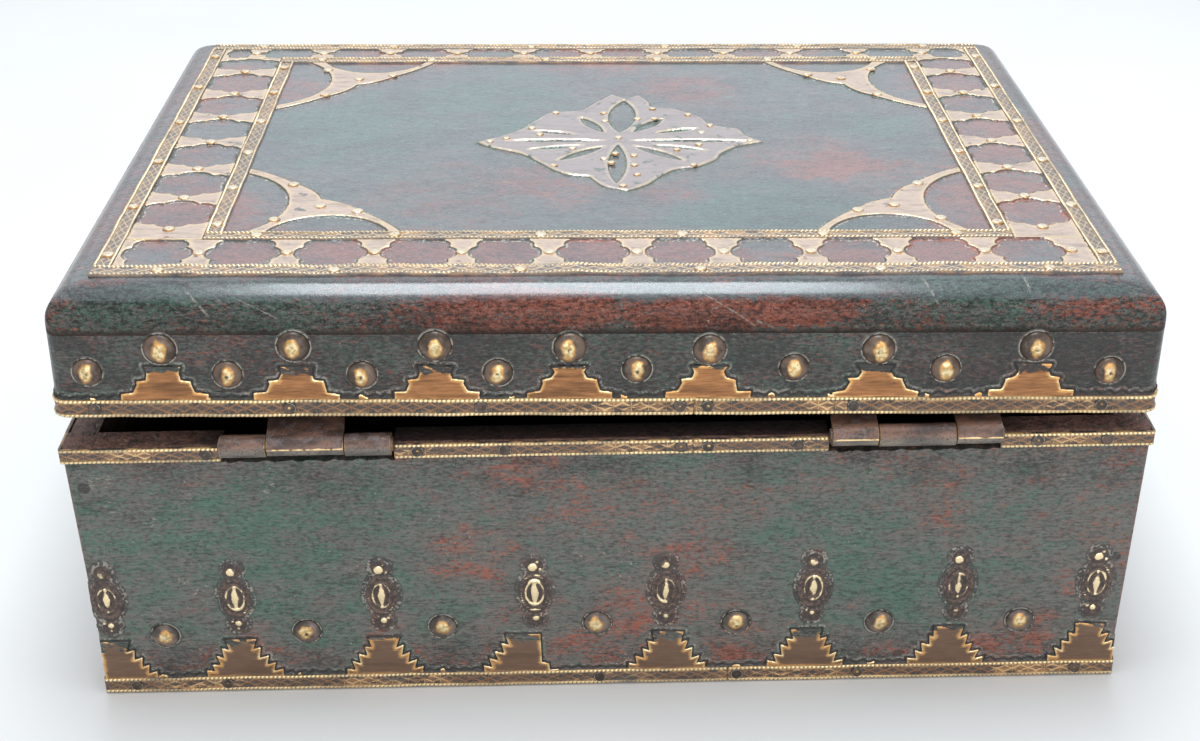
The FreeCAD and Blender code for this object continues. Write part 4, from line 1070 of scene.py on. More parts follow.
def crest_half(side, kind):
    """Half the length of a crest's strip; on the lid it stops short of the corner."""
    inset = lid_crest_inset if kind == "lid" else 0.0
    return half_length_at(side, crest_kinds[kind][0], kind == "lid") - inset


def crest_outline(side, kind, shares):
    """Up and down each pyramid in turn, with small cut points in the gaps between."""
    low, height, half_width, steps = crest_kinds[kind]
    half_face = crest_half(side, kind)
    cuts = np.random.default_rng(sum(map(ord, side + kind)))
    points, cursor = [(-half_face, low - 0.6)], -half_face
    for share in [*shares, None]:
        centre = None if share is None else share * SIDES[side][1]
        stop = half_face if centre is None else centre - half_width
        count = max(int((stop - cursor) / 3.1), 0)
        for i in range(count):
            step = (stop - cursor) / count
            tall = 0.55 + 0.75 * cuts.random()
            points.append((cursor + i * step, low + 0.25))
            points.append((cursor + (i + 0.35 + 0.3 * cuts.random()) * step, low + tall))
        if centre is None:
            break
        rough = cuts.normal(0, 0.16, (2, len(steps), 2))
        lean = cuts.normal(0, 0.25)
        left, right = [
            [(centre + way * u * half_width + r[0] + lean * t, low + max(t * height + r[1], 0.1))
             for (u, t), r in zip(steps, half_rough)]
            for way, half_rough in zip((-1, 1), rough)]
        if kind == "chest" and side == "back" and share == cut_off_share:
            right = [(centre + u, low + t * height) for u, t in cut_off_steps]
        points += left + right[::-1]
        cursor = centre + half_width
    points += [(half_face, low + 0.2), (half_face, low - 0.6)]
    points = np.array(points)
    points[:, 0] = np.clip(points[:, 0], -half_face, half_face)
    return points


def sheet_brass(name, tone, brush, rim_width, gloom, cover_at, cover_seed, contrast, sheen=0.0,
                crust=0.4, warm_highlight_tone=(0.80, 0.43, 0.15), painted_haze=0.0):
    """Brushed sheet: bright ragged rims with a warm glow, and paint where it slopes away.

    The rims are rubbed metal with a painted highlight, and the warm glow within them is a
    painted highlight too. Just outside the edge a dark line is grime and a painted shadow.
    painted_haze lays a grey painted haze over the metal.
    """
    material, w, shader, place = new_material(name)
    rim, hide = w.mark("rim"), w.mark("hide")
    grained = w.scaled(place, brush)
    brushed = w.noise(grained, 2000.0, 4.0, 0.65, 4.0)
    cloud = w.noise(grained, 330.0, 3.0, 0.6, 6.0)
    fine = w.noise(place, 1100.0, 3.0, 0.6, 1.0)
    face = w.blend(w.step(brushed, 0.34, 0.66, 0.0, contrast), shade(tone, 1.15), shade(tone, 0.3))
    face = w.blend(w.step(cloud, 0.50, 0.66, 0.0, contrast), face, brass_dark)
    # A warm painted highlight within the rims
    warm = w.times_plus(cloud, 2.2, w.times_plus(brushed, 1.2, w.plus(rim, -1.75)))
    glow = w.times(w.step(warm, rim_width * 2.4, 0.0), w.step(rim, -0.12, 0.05))
    face = w.blend(w.times(glow, 0.8), face, warm_highlight_tone)
    # The bright rims: rubbed metal and a painted highlight
    ragged = w.times_plus(fine, 1.1, w.plus(rim, -0.55))
    bright = w.times(w.step(ragged, rim_width, 0.0), w.step(rim, -0.12, 0.02))
    broken = w.step(w.noise(place, 210.0, 3.0, 0.6, 3.0), 0.42, 0.56, 0.04, 1.0)
    bright = w.times(w.times(bright, broken), w.step(hide, 0.6, 0.2))
    # painted_haze lays a grey painted haze of reflected light over the metal
    color = w.blend(painted_haze, w.blend(bright, face, brass_bright), painted_top_haze)
    paint = use_group(w, aged_paint, Place=place, Gloom=w.step(rim, -1.5, -0.5, 0.0, gloom))
    flaked = w.step(w.times_plus(cloud, 0.5, fine), 0.76, 0.88, 0.0, crust)
    crack = w.times(w.between(rim, -0.40, -0.65, -1.20, -0.95), flaked)
    # Just outside the edge: a dark line of grime and painted shadow, weaker under the painted haze
    outside = w.times(w.between(rim, -0.62, -0.30, 0.15, 0.0), 0.85 - painted_haze * 2)
    skin = w.layered(paint["Color"], (crack, dust_pale), (outside, (0.012, 0.010, 0.009)))
    patch = w.times_plus(hide, 0.4, w.noise(place, 190.0, 3.0, 0.6, cover_seed))
    cover = w.step(patch, cover_at, cover_at + 0.07)
    cover = w.times(cover, w.step(bright, 0.8, 0.2))
    cover = w.larger(cover, w.step(rim, 0.02, -0.10))
    surface(w, shader, w.times_plus(brushed, 0.8, w.times(fine, 0.5)), 0.7, 0.16,
            Base_Color=w.blend(cover, color, skin),
            Metallic=w.lerp(cover, w.lerp(bright, 0.8 - sheen, 1.0), 0.0),
            Roughness=w.lerp(cover, w.lerp(bright, 0.40, 0.26), 0.42),
            Specular_IOR_Level=0.35, Coat_Weight=sheen, Coat_Roughness=0.2)
    return material


def crest_hidden(kind, centres, seed):
    """What paint hides: the strip between pyramids but for a few points, and some tops."""
    low, height, half_width, _ = crest_kinds[kind]

    def hidden(points):
        """How far paint hides each point, from none at 0 to all at 1."""
        away = [np.abs(points[:, 0] - c) for c in centres]
        apart, nearest = np.min(away, axis=0), np.argmin(away, axis=0)
        between = np.clip((apart - half_width * 0.95) / 0.8, 0, 1)
        spared = wander(points[:, 0], 13.0, seed) > 0.62
        luck = np.sin(7.7 * nearest + seed)
        top = np.clip(((points[:, 1] - low) / height - 0.74 - 0.1 * luck) / 0.15, 0, 1)
        ragged = 0.5 + 0.5 * wander(points[:, 0] + 2 * points[:, 1], 5.0, seed + 1)
        return np.maximum(between * ~spared, top * (0.35 + 0.65 * ragged))

    return hidden


lid_crest_brass = sheet_brass(
    "crest_brass_lid", (0.38, 0.178, 0.078), (0.12, 0.12, 1.0), rim_width=0.44, gloom=0.6,
    cover_at=0.64, cover_seed=8.0, contrast=0.5)
chest_crest_brass = sheet_brass(
    "crest_brass_chest", (0.195, 0.125, 0.088), (0.12, 0.12, 1.0), rim_width=0.46, gloom=0.4,
    cover_at=0.66, cover_seed=3.0, contrast=0.24)
for kind, material, cell in (("lid", lid_crest_brass, 0.34), ("chest", chest_crest_brass, 0.36)):
    low, height = crest_kinds[kind][:2]
    for number, side in enumerate(SIDES):
        shares = crest_shares[kind if side in LONG_SIDES else "sides"]
        half = crest_half(side, kind)
        box = ((-half, low - 0.6), (half, low + height + 2.0))
        centres = [share * SIDES[side][1] for share in shares]
        hidden = crest_hidden(kind, centres, number + len(kind))
        crest = relief([crest_outline(side, kind, shares)], cell, number + 3, box, hidden=hidden)
        make_piece(
            kind + "_stepped_crest_" + side, kind, "brass_sheet",
            [put_down(crest, side, kind == "lid")], material, kind + "_crest_" + side)

# The pierced border
# Strips of sheet brass between the two frames, pierced by a row of barbed openings so
# that an hourglass of metal is left between each two. Each waist holds one nail.
fret_pitch = 22.3
fret_side_pitch = 21.9
fret_waist = 3.0
fret_rim = 0.7
fret_shifts = {"back": 7.6, "front": -2.0, "left": -inner_shift_y, "right": -inner_shift_y}
fret_arc_shares = (
    ((1.0, 0.0), (0.94, 0.30), (0.77, 0.48)),
    ((0.77, 0.48), (0.73, 0.84), (0.54, 0.99)),
    ((0.54, 0.99), (0.28, 1.0), (0.0, 0.94)),
)


def arc_points(start, via, end, count=7):
    """Points along the circle through three points, the last one left out."""
    (ax, ay), (bx, by), (cx, cy) = start, via, end
    turn = 2 * (ax * (by - cy) + bx * (cy - ay) + cx * (ay - by))
    if abs(turn) < 1e-9:
        return np.linspace(start, end, count, endpoint=False)
    a2, b2, c2 = ax * ax + ay * ay, bx * bx + by * by, cx * cx + cy * cy
    ox = (a2 * (by - cy) + b2 * (cy - ay) + c2 * (ay - by)) / turn
    oy = (a2 * (cx - bx) + b2 * (ax - cx) + c2 * (bx - ax)) / turn
    first = math.atan2(ay - oy, ax - ox)
    middle = (math.atan2(by - oy, bx - ox) - first) % (2 * math.pi)
    last = (math.atan2(cy - oy, cx - ox) - first) % (2 * math.pi)
    if middle > last:
        last -= 2 * math.pi
    angles = first + np.linspace(0, last, count, endpoint=False)
    radius = math.hypot(ax - ox, ay - oy)
    return np.stack([ox + radius * np.cos(angles), oy + radius * np.sin(angles)], axis=1)


def four_way(arcs, size_a, size_u):
    """A closed outline from one quarter's arcs, mirrored into the other three."""
    quarter = np.concatenate([arc_points(*arc) for arc in arcs] + [np.array([arcs[-1][2]])])
    mirrored = quarter[::-1] * [-1, 1]
    half = np.concatenate([quarter, mirrored[1:]])
    return np.concatenate([half, -half[1:-1]]) * [size_a, size_u]


def fret_waists(side):
    """The strip's length and width and where its waists are, counted from its middle."""
    (bx0, by0), (bx1, by1) = top_frames["outer"]
    (ix0, iy0), (ix1, iy1) = top_frames["inner"]
    bx0, by0 = bx0 + top_band_width, by0 + top_band_width
    bx1, by1 = bx1 - top_band_width, by1 - top_band_width
    y0, y1 = {"back": (by0, iy0), "front": (iy1, by1)}.get(side, (iy0, iy1))
    x0, x1 = {"left": (bx0, ix0), "right": (ix1, bx1)}.get(side, (bx0, bx1))
    length, width, pitch = y1 - y0, x1 - x0 - 2 * fret_gap, fret_side_pitch
    if side in LONG_SIDES:
        length, width, pitch = x1 - x0 - 2 * fret_gap, y1 - y0 - 2 * fret_gap, fret_pitch
    steps = int(length / pitch)
    places = fret_shifts[side] + pitch * np.arange(-steps, steps + 1)
    limit = length / 2 - fret_rim - fret_waist / 2
    return length, width, places[np.abs(places) < limit], ((x0 + x1) / 2, (y0 + y1) / 2)


def fret_outlines(length, width, waists, seed):
    """The strip's own outline and one barbed opening between each two waists."""
    half_a, half_u = length / 2, width / 2
    loops = [np.array([(-half_a, -half_u), (half_a, -half_u), (half_a, half_u), (-half_a, half_u)])]
    stops = [-half_a + fret_rim - fret_waist / 2, *waists, half_a - fret_rim + fret_waist / 2]
    cuts = np.random.default_rng(seed)
    for start, stop in zip(stops[:-1], stops[1:]):
        size = (stop - start - fret_waist) / 2
        if size < fret_waist:
            continue
        size = size * (1 + cuts.normal(0, 0.025))
        opening = four_way(fret_arc_shares, size, half_u - 0.12)
        loops.append(opening + [(start + stop) / 2 + cuts.normal(0, 0.15), 0.0])
    return loops


top_sheet_brass = sheet_brass(
    "pierced_brass_lid_top", (0.53, 0.38, 0.285), (0.25, 1.0, 1.0), rim_width=0.62, gloom=0.1,
    cover_at=0.62, cover_seed=2.0, sheen=0.5, contrast=0.38, crust=0.9,
    warm_highlight_tone=(0.70, 0.49, 0.29), painted_haze=0.16)


def border_hidden(length, width, waists):
    """The slivers between an opening and the bands, which the bands' edges lie over."""

    def hidden(points):
        """One on a sliver, none elsewhere."""
        ends = [-length / 2, length / 2]
        apart = np.min([np.abs(points[:, 0] - c) for c in [*waists, *ends]], axis=0)
        by_edge = np.abs(points[:, 1]) > width / 2 - 0.9
        return np.where(by_edge & (apart > 5.0), 1.0, 0.0)

    return hidden


fret_nails = []
for number, side in enumerate(("back", "front", "left", "right")):
    length, width, waists, centre = fret_waists(side)
    quarter = 0 if side in LONG_SIDES else 1
    box = ((-length / 2, -width / 2), (length / 2, width / 2))
    border = relief(
        fret_outlines(length, width, waists, number), cell=0.45, seed=number + 9, box=box,
        rim_lift=0.25, hidden=border_hidden(length, width, waists))
    make_piece("pierced_border_" + side, "lid", "brass_sheet", [on_top(border, quarter, centre)],
               top_sheet_brass, "lid_fret_" + side)
    fret_nails += [(centre[0] + at * (1 - quarter), centre[1] + at * quarter) for at in waists]

# The corner plates
# A three-armed plate of sheet brass in each corner of the inner frame: two arms run out
# along the bands and one curves across the corner, with a leaf-shaped gap each side.
corner_leg = 45.8
corner_gap = 0.3
plate_field_shares = (
    ((1.0, 0.0), (0.875, 0.175), (0.727, 0.325)),
    ((0.727, 0.325), (0.617, 0.435), (0.492, 0.492)),
    ((0.492, 0.492), (0.435, 0.617), (0.325, 0.727)),
    ((0.325, 0.727), (0.175, 0.875), (0.0, 1.0)),
)
plate_side_bite_shares = ((0.0, 0.93), (0.306, 0.50), (0.125, 0.0))
plate_foot_bite_shares = ((0.225, 0.0), (0.52, 0.24), (0.94, 0.0))
plate_pin_shares = ((0.26, 0.175), (0.727, 0.30), (0.30, 0.727), (0.50, 0.38))


def corner_outline():
    """Round the plate from the tip of one arm: field side, side gap, corner, foot gap."""
    arcs = [arc_points(*arc) for arc in plate_field_shares]
    arcs.append(np.array([plate_field_shares[-1][2]]))
    for bite in (plate_side_bite_shares, plate_foot_bite_shares):
        arcs += [arc_points(*bite, count=14), np.array([bite[-1]])]
    return np.concatenate(arcs) * corner_leg


(cx0, cy0), (cx1, cy1) = top_frames["inner"]
inset = top_band_width + corner_gap
corner_places = [
    ((cx0 + inset, cy0 + inset), (1, 1)), ((cx1 - inset, cy0 + inset), (-1, 1)),
    ((cx0 + inset, cy1 - inset), (1, -1)), ((cx1 - inset, cy1 - inset), (-1, -1)),
]
plates = []
for number, (at, way) in enumerate(corner_places):
    box = np.sort(np.array([[0, 0], [corner_leg + 1, corner_leg + 1]]) * way, axis=0)
    plate = relief([corner_outline() * way], cell=0.42, seed=number + 21, box=box, rim_lift=0.3)
    plates.append(on_top(plate, 0, at))
make_piece("corner_plates", "lid", "brass_sheet", plates, top_sheet_brass, "lid_corner_plates")

# The centre medallion
# A scalloped lozenge of sheet brass, pierced by twelve petals that point to its middle.
# The metal between them is raised from behind, and small round nails dot it.
# Its outline from the left tip round by the far side, corners doubled, on the lid's top
medallion_outline = (
    (-36.2, -0.5), (-36.2, -0.5), (-29.5, 4.5), (-23.6, 10.6), (-19.5, 18.5), (-14.5, 25.3), (-6.3, 27.0),
    (-1.5, 34.0), (4.0, 42.4), (4.0, 42.4), (8.2, 38.6), (12.4, 41.4), (12.4, 41.4), (15.2, 35.5),
    (16.1, 30.5), (22.0, 28.8), (26.5, 25.1), (30.6, 20.5), (32.8, 14.6), (36.6, 12.0), (41.1, 10.3),
    (43.0, 4.5), (47.3, -0.5), (47.3, -0.5), (40.0, -4.0), (34.4, -10.1), (32.8, -14.5), (30.0, -17.9),
    (26.5, -20.9), (20.8, -22.8), (16.4, -27.6), (12.0, -34.5), (6.3, -39.2), (6.3, -39.2), (2.6, -37.2),
    (0.1, -35.6), (-2.2, -31.6), (-4.1, -28.2), (-9.0, -27.0), (-13.2, -23.7), (-17.5, -17.5),
    (-22.1, -11.3), (-25.2, -8.6), (-28.8, -6.5), (-32.6, -4.2),
)
# Each petal from its inner to its outer point and how wide it is
medallion_petals = (
    ((9.0, 0.2), (44.0, -0.2), 2.6), ((0.8, 0.3), (-27.8, 0.4), 2.6),
    ((4.9, -2.2), (3.6, -34.2), 5.6), ((5.6, 7.0), (7.8, 37.0), 8.6),
    ((9.6, -4.2), (23.5, -16.3), 3.6), ((0.7, -4.4), (-12.7, -16.0), 3.6),
    ((9.5, 7.4), (19.2, 19.8), 3.8), ((0.9, 7.4), (-6.0, 21.0), 3.8),
    ((16.5, 6.8), (29.0, 10.8), 2.4), ((-7.5, 5.8), (-20.0, 8.8), 2.4),
    ((15.5, -3.4), (30.5, -8.0), 2.2), ((-5.5, -3.6), (-21.5, -7.0), 2.2),
)
medallion_beads = (
    (-32.7, -0.1), (-27.9, 2.0), (-20.5, 11.1), (-18.1, 5.6), (-13.5, 24.7), (-13.8, -20.3), (-8.5, -6.2),
    (0.5, -14.9), (3.9, -10.7), (2.6, -18.1), (1.5, 17.3), (1.2, 24.3), (11.3, 19.0), (16.5, 19.0),
    (16.3, 28.3), (26.9, 22.8), (33.0, 13.2), (30.0, 7.0), (21.9, -7.6), (26.0, -20.1), (9.1, -20.0),
    (9.6, -27.6), (5.4, -35.9), (43.9, -0.2), (28.5, -3.2), (9.2, -12.3), (5.1, 2.7),
)


def through(stops):
    """A smooth closed line through the stops (Catmull-Rom), with a corner at a doubled one."""
    stops = np.asarray(stops, float)
    line, shares = [], np.linspace(0, 1, 6, endpoint=False)
    for i, (start, end) in enumerate(zip(stops, np.roll(stops, -1, axis=0))):
        if np.allclose(start, end):
            continue
        before, after = stops[i - 1], stops[(i + 2) % len(stops)]
        for t in shares:
            line.append(0.5 * (
                2 * start + (end - before) * t + (2 * before - 5 * start + 4 * end - after) * t ** 2
                + (3 * start - before - 3 * end + after) * t ** 3))
    return np.array(line)


def petal_outline(inner, outer, width):
    """A leaf between two arcs, pointed at both ends."""
    inner, outer = np.array(inner), np.array(outer)
    way = (outer - inner) / np.hypot(*(outer - inner))
    side = np.array([-way[1], way[0]]) * width / 2
    middle = (inner + outer) / 2
    return np.concatenate([
        arc_points(inner, middle + side, outer, 10), arc_points(outer, middle - side, inner, 10)])


def medallion_swell(points, d):
    """Raised ribs along the petals and a gentle rise of the ground between them."""
    rib = np.exp(-((d - 0.9) / 0.55) ** 2)
    uneven = 0.75 + 0.35 * wander(points[:, 0] - points[:, 1], 9.0, 6) * wander(points[:, 1], 6.0, 3)
    return 0.36 * rib * uneven + 0.18 * np.clip(d / 4.0, 0, 1)


loops = [through(medallion_outline)] + [petal_outline(*petal) for petal in medallion_petals]
medallion_brass = sheet_brass(
    "pierced_brass_medallion", (0.29, 0.22, 0.20), (0.25, 1.0, 1.0), rim_width=0.55, gloom=0.0,
    cover_at=0.60, cover_seed=12.0, sheen=0.6, contrast=0.3, warm_highlight_tone=(0.55, 0.43, 0.32),
    painted_haze=0.30)
medallion = relief(loops, cell=0.40, seed=31, swell=medallion_swell, rim_lift=0.3)
make_piece("centre_medallion", "lid", "brass_sheet", [on_top(medallion)], medallion_brass,
           "lid_medallion")

# The oval plaques
# Small struck plaques above the chest's crests: a pointed oval with a rope edge round a
# raised shuttle, and a lobe with beads at each end. Paint fills all but the high spots.
plaque_height = 22.6
plaque_width = 8.8
plaque_centre_height = 31.4
plaque_lobe = 2.5
# Each bead of a plaque: along and up from its middle, and its radius
plaque_beads = (
    (-0.35, 8.3, 1.45), (1.75, 7.5, 0.7), (0.9, 10.0, 0.6), (0.1, -8.3, 1.05),
    (-1.6, -7.5, 0.7), (1.5, -7.4, 0.7), (0.0, -10.0, 0.65),
)
chest_plaque_shares = (-0.962, -0.717, -0.437, -0.144, 0.108, 0.391, 0.670, 0.936)


def plaque_outline():
    """A pointed oval between two arcs, with a round lobe over each point."""
    half = plaque_height / 2
    oval_half = half - 2 * plaque_lobe
    lobe_at = half - plaque_lobe
    angles = np.radians(np.linspace(-55, 235, 17))
    lobe = np.stack([plaque_lobe * np.cos(angles), lobe_at + plaque_lobe * np.sin(angles)], axis=1)
    side = arc_points((-1.2, oval_half + 0.6), (-plaque_width / 2, 0), (-1.2, -oval_half - 0.6), 12)
    left = np.concatenate([side, [(-1.2, -oval_half - 0.6)]])
    return np.concatenate([lobe, left, -lobe, -left])


def plaque_swell(points, *_):
    """Raised parts of a plaque: shuttle, two rope rings with their strands, end beads."""
    a, u = points[:, :2].T
    reach = np.sqrt((a / (plaque_width / 2 - 0.1)) ** 2 + (u / (plaque_height / 2 - 4.4)) ** 2)
    shuttle = np.clip(1 - (np.abs(a) / 1.25) ** 1.3 - (np.abs(u) / 4.3) ** 1.3, 0, 1) ** 0.5
    strands = 0.72 + 0.28 * np.cos(2 * np.pi * u / 0.8)
    inside = np.abs(u) < 6.2
    ring = np.exp(-((reach - 0.56) / 0.085) ** 2) * inside
    rope = np.exp(-((reach - 0.84) / 0.09) ** 2) * strands * inside
    beads = np.zeros_like(a)
    for x, y, r in plaque_beads:
        away = (a - x) ** 2 + (u - y) ** 2
        beads = np.maximum(beads, np.sqrt(np.clip(1 - away / r ** 2, 0, 1)) * min(r, 1.1))
    return 0.62 * shuttle + 0.42 * ring + 0.32 * rope + 0.5 * beads


plaque_brass, w, shader, place = new_material("struck_plaque_brass")
rim, high, luck = w.mark("rim"), w.mark("high"), w.mark("luck")
fine = w.noise(place, 1200.0, 3.0, 0.6, 1.0)
blotch = w.noise(place, 300.0, 2.0, 0.5, 5.0)
worn = w.plus(high, w.times_plus(blotch, 0.9, w.times_plus(fine, 0.3, -0.6)))
worn = w.step(w.times_plus(luck, 0.07, worn), 0.30, 0.44)
paint = use_group(w, aged_paint, Place=place, Red=0.6, Gloom=0.25)
brown = w.blend(w.step(fine, 0.40, 0.58), (0.125, 0.074, 0.056), (0.035, 0.026, 0.023))
skin = w.blend(w.step(rim, -0.1, 0.2), paint["Color"], brown)
skin = w.blend(w.step(high, 0.02, 0.14, 0.6, 0.0), skin, (0.030, 0.024, 0.022))
flaked = w.step(w.times_plus(blotch, 0.5, fine), 0.76, 0.88, 0.0, 0.55)
crack = w.times(w.between(rim, 0.30, 0.05, -1.25, -0.95), flaked)
skin = w.blend(crack, skin, dust_pale)
surface(w, shader, w.times_plus(fine, 0.6, paint["Height"]), 0.6, 0.18,
        Base_Color=w.blend(worn, skin, (0.92, 0.74, 0.45)), Metallic=worn,
        Roughness=w.lerp(worn, 0.38, 0.22))

plaque_points, plaque_faces, plaque_marks = relief(
    [plaque_outline()], cell=0.26, seed=41, swell=plaque_swell, rim_lift=0.2)
plaque_marks["high"] = np.where(plaque_points[:, 2] > 0.3, plaque_swell(plaque_points[:, :2]), 0.0)
for side in SIDES:
    set_of = []
    for share in chest_plaque_shares if side in LONG_SIDES else crest_shares["sides"]:
        limit = half_length_at(side, plaque_centre_height) - plaque_width / 2
        at = math.copysign(min(abs(share) * SIDES[side][1], limit), share)
        moved = plaque_points * [1, 1, 0.9] + [at, plaque_centre_height, 0]
        moved[:, 0] = np.clip(moved[:, 0], -limit - plaque_width / 2, limit + plaque_width / 2)
        luck = np.full(len(moved), math.sin(5.1 * len(set_of) + at))
        set_of.append(put_down((moved, plaque_faces, {**plaque_marks, "luck": luck}), side))
    make_piece("oval_plaques_" + side, "chest", "brass_sheet", set_of, plaque_brass,
               "chest_plaques")

# Domed studs
# Round studs of sheet brass over an iron shank, driven between and above the crests. The
# paint has run up round them, and only their crowns are rubbed through to bright metal,
# whose tall off-centre patch also paints a highlight.
# Each kind of stud: radius, rise and height above the foot of its face
stud_kinds = {"lid_high": (4.1, 2.2, 18.9), "lid_low": (3.7, 2.0, 12.4), "chest": (3.7, 1.8, 19.9)}
stud_waver = 0.8
lid_low_stud_shares = (-0.930, -0.681, -0.441, -0.198, 0.051, 0.333, 0.606, 0.903)
chest_stud_shares = (-0.861, -0.587, -0.324, -0.025, 0.244, 0.523, 0.797)
side_low_stud_shares = (-0.60, -0.20, 0.20, 0.60)


def button(profile, around, seed, dent, lip_from=-1):
    """A round head turned from (radius, height) pairs, closed below by a flat disc.

    Every ring has the same points, its crown is one point, and a dent pushes one side of
    the crown down. Rings outside the ring lip_from are ragged.
    """
    profile = np.asarray(profile, float)
    angles = np.linspace(0, 2 * np.pi, around, endpoint=False)
    radius, height = profile[1:, 0][:, None], profile[1:, 1][:, None]
    x = radius * np.cos(angles)
    y = radius * np.sin(angles)
    lean = seed * 2.4
    nearness = np.exp(-((x - math.cos(lean)) ** 2 + (y - math.sin(lean)) ** 2) / 1.4)
    ragged = 0.10 * wander(angles, 1.7, seed) + 0.06 * np.sin(9 * angles + seed)
    z = height - dent * nearness + ragged * (radius > profile[lip_from, 0]) * (height > 0.1)
    points = np.concatenate([
        [[0, 0, profile[0, 1] - dent * 0.4]],
        np.stack([x, y, np.broadcast_to(z, x.shape)], axis=-1).reshape(-1, 3),
        [[0, 0, profile[-1, 1]]],
    ])
    rings = len(profile) - 1
    index = 1 + np.arange(rings * around).reshape(rings, around)
    onward = np.roll(index, -1, axis=1)
    quads = np.stack([index[:-1], index[1:], onward[1:], onward[:-1]], axis=-1).reshape(-1, 4)
    crown = np.stack([np.zeros(around, int), index[0], onward[0]], axis=1)
    last = len(points) - 1
    base = np.stack([np.full(around, last), onward[-1], index[-1]], axis=1)
    widest = profile[:, 0].max()
    share = np.concatenate([[0], np.repeat(profile[1:, 0] / widest, around), [1]])
    marks = {
        "ring": share, "seed": np.full(len(points), (seed * 0.6180339) % 1.0),
        "aside": points[:, 0] / widest, "above": points[:, 1] / widest,
    }
    return points, [quads, np.concatenate([crown, base])], marks


def stud_profile(radius, rise):
    """A dome whose foot meets a thin cracked lip of paint."""
    turns = np.radians([0, 10, 20, 30, 40, 50, 60, 70, 80, 87])
    dome = [(radius * math.sin(t), rise * math.cos(t) ** 0.9) for t in turns]
    lip = [(radius * 1.04, 0.24), (radius * 1.085, 0.25), (radius * 1.14, 0.08), (radius * 1.2, -0.15)]
    return dome + lip


def stud_brass(name, wide, tall, gloom, side_tone, pale=0.0, centre=0.0, luck=0.0, metal_share=1.0):
    """A bright crown worn through paint, taller than wide, noisy and off-centre: rubbed metal
    shaped and placed as a painted highlight.
    """
    material, w, shader, place = new_material(name)
    ring, seed, aside, above = (w.mark(m) for m in ("ring", "seed", "aside", "above"))
    fine = w.noise(place, 900.0, 3.0, 0.6, 2.0)
    patch = w.noise(place, 280.0, 2.0, 0.5, 7.0)
    across = w.times_plus(seed, 0.16, w.plus(aside, -0.06))
    along = w.plus(above, -centre)
    across, along = w.math("DIVIDE", across, wide), w.math("DIVIDE", along, tall)
    reach = w.math("SQRT", w.plus(w.times(across, across), w.times(along, along)))
    edge = w.times_plus(patch, 1.3, w.times_plus(fine, 0.5, -0.9))
    reach = w.plus(reach, w.times_plus(seed, luck, edge))
    # The crown: rubbed metal and a painted highlight, tall and set off-centre
    worn = w.step(reach, 1.15, 0.85)
    paint = use_group(w, aged_paint, Place=place, Gloom=gloom)
    dome = w.step(ring, 0.86, 0.82)
    side = w.blend(w.step(patch, 0.40, 0.62), side_tone, shade(side_tone, 0.35))
    side = w.blend(w.step(fine, 0.55, 0.68, 0.0, 0.6), side, paint_grey)
    skin = w.blend(dome, paint["Color"], side)
    lip = w.between(ring, 0.83, 0.86, 0.96, 0.86)
    halo = w.times(lip, w.step(w.times_plus(patch, 0.5, fine), 0.68, 0.80))
    dark = w.times(w.between(ring, 0.80, 0.83, 1.0, 0.9), 0.7)
    skin = w.layered(skin, (dark, (0.018, 0.015, 0.013)), (w.times(halo, 0.8), dust_pale))
    metal = w.blend(w.step(fine, 0.38, 0.62), (0.84, 0.71, 0.43), (0.52, 0.34, 0.14))
    metal = w.blend(pale, metal, (0.66, 0.60, 0.52))
    metal = w.blend(w.step(reach, 0.95, 0.55), (0.50, 0.26, 0.085), metal)
    dent = w.times(w.step(ring, 0.16, 0.07), w.step(patch, 0.48, 0.56))
    metal = w.blend(w.times(dent, 0.85), metal, brass_dark)
    metallic = w.larger(w.times(worn, metal_share), w.times(dome, 0.15))
    dull = w.lerp(dome, 0.45, 0.34)
    surface(w, shader, w.times_plus(fine, 0.6, paint["Height"]), 0.4, 0.16,
            Base_Color=w.blend(worn, skin, metal), Metallic=metallic,
            Roughness=w.lerp(worn, dull, w.step(fine, 0.3, 0.7, 0.26, 0.42)))
    return material


lid_stud_brass = stud_brass(
    "stud_brass_lid", wide=0.36, tall=0.55, gloom=0.3, side_tone=(0.15, 0.098, 0.070), centre=0.02)
chest_stud_brass = stud_brass(
    "stud_brass_chest", wide=0.42, tall=0.46, gloom=0.4, side_tone=(0.170, 0.130, 0.108),
    centre=0.14)


def stud_row(side, shares, kind, first):
    """A row of studs along one side, each a little higher or lower than the last."""
    radius, rise, height = stud_kinds[kind]
    row = []
    for seed, share in enumerate(shares, first):
        stud = button(stud_profile(radius, rise), 40, seed, dent=0.22, lip_from=9)
        shift = (share * SIDES[side][1], height + stud_waver * math.sin(7.3 * seed), 0)
        row.append(put_down(stud, side, kind != "chest", shift=shift))
    return row


lid_studs, chest_studs = [], []
for number, side in enumerate(SIDES):
    high, low, chest = crest_shares["sides"], side_low_stud_shares, side_low_stud_shares
    if side in LONG_SIDES:
        high, low, chest = crest_shares["lid"], lid_low_stud_shares, chest_stud_shares
    lid_studs += stud_row(side, high, "lid_high", 20 * number)
    lid_studs += stud_row(side, low, "lid_low", 20 * number + 9)
    chest_studs += stud_row(side, chest, "chest", 20 * number + 5)
make_piece("domed_studs_lid", "lid", "brass_studs", lid_studs, lid_stud_brass, "lid_studs")
make_piece("domed_studs_chest", "chest", "brass_studs", chest_studs, chest_stud_brass,
           "chest_studs")

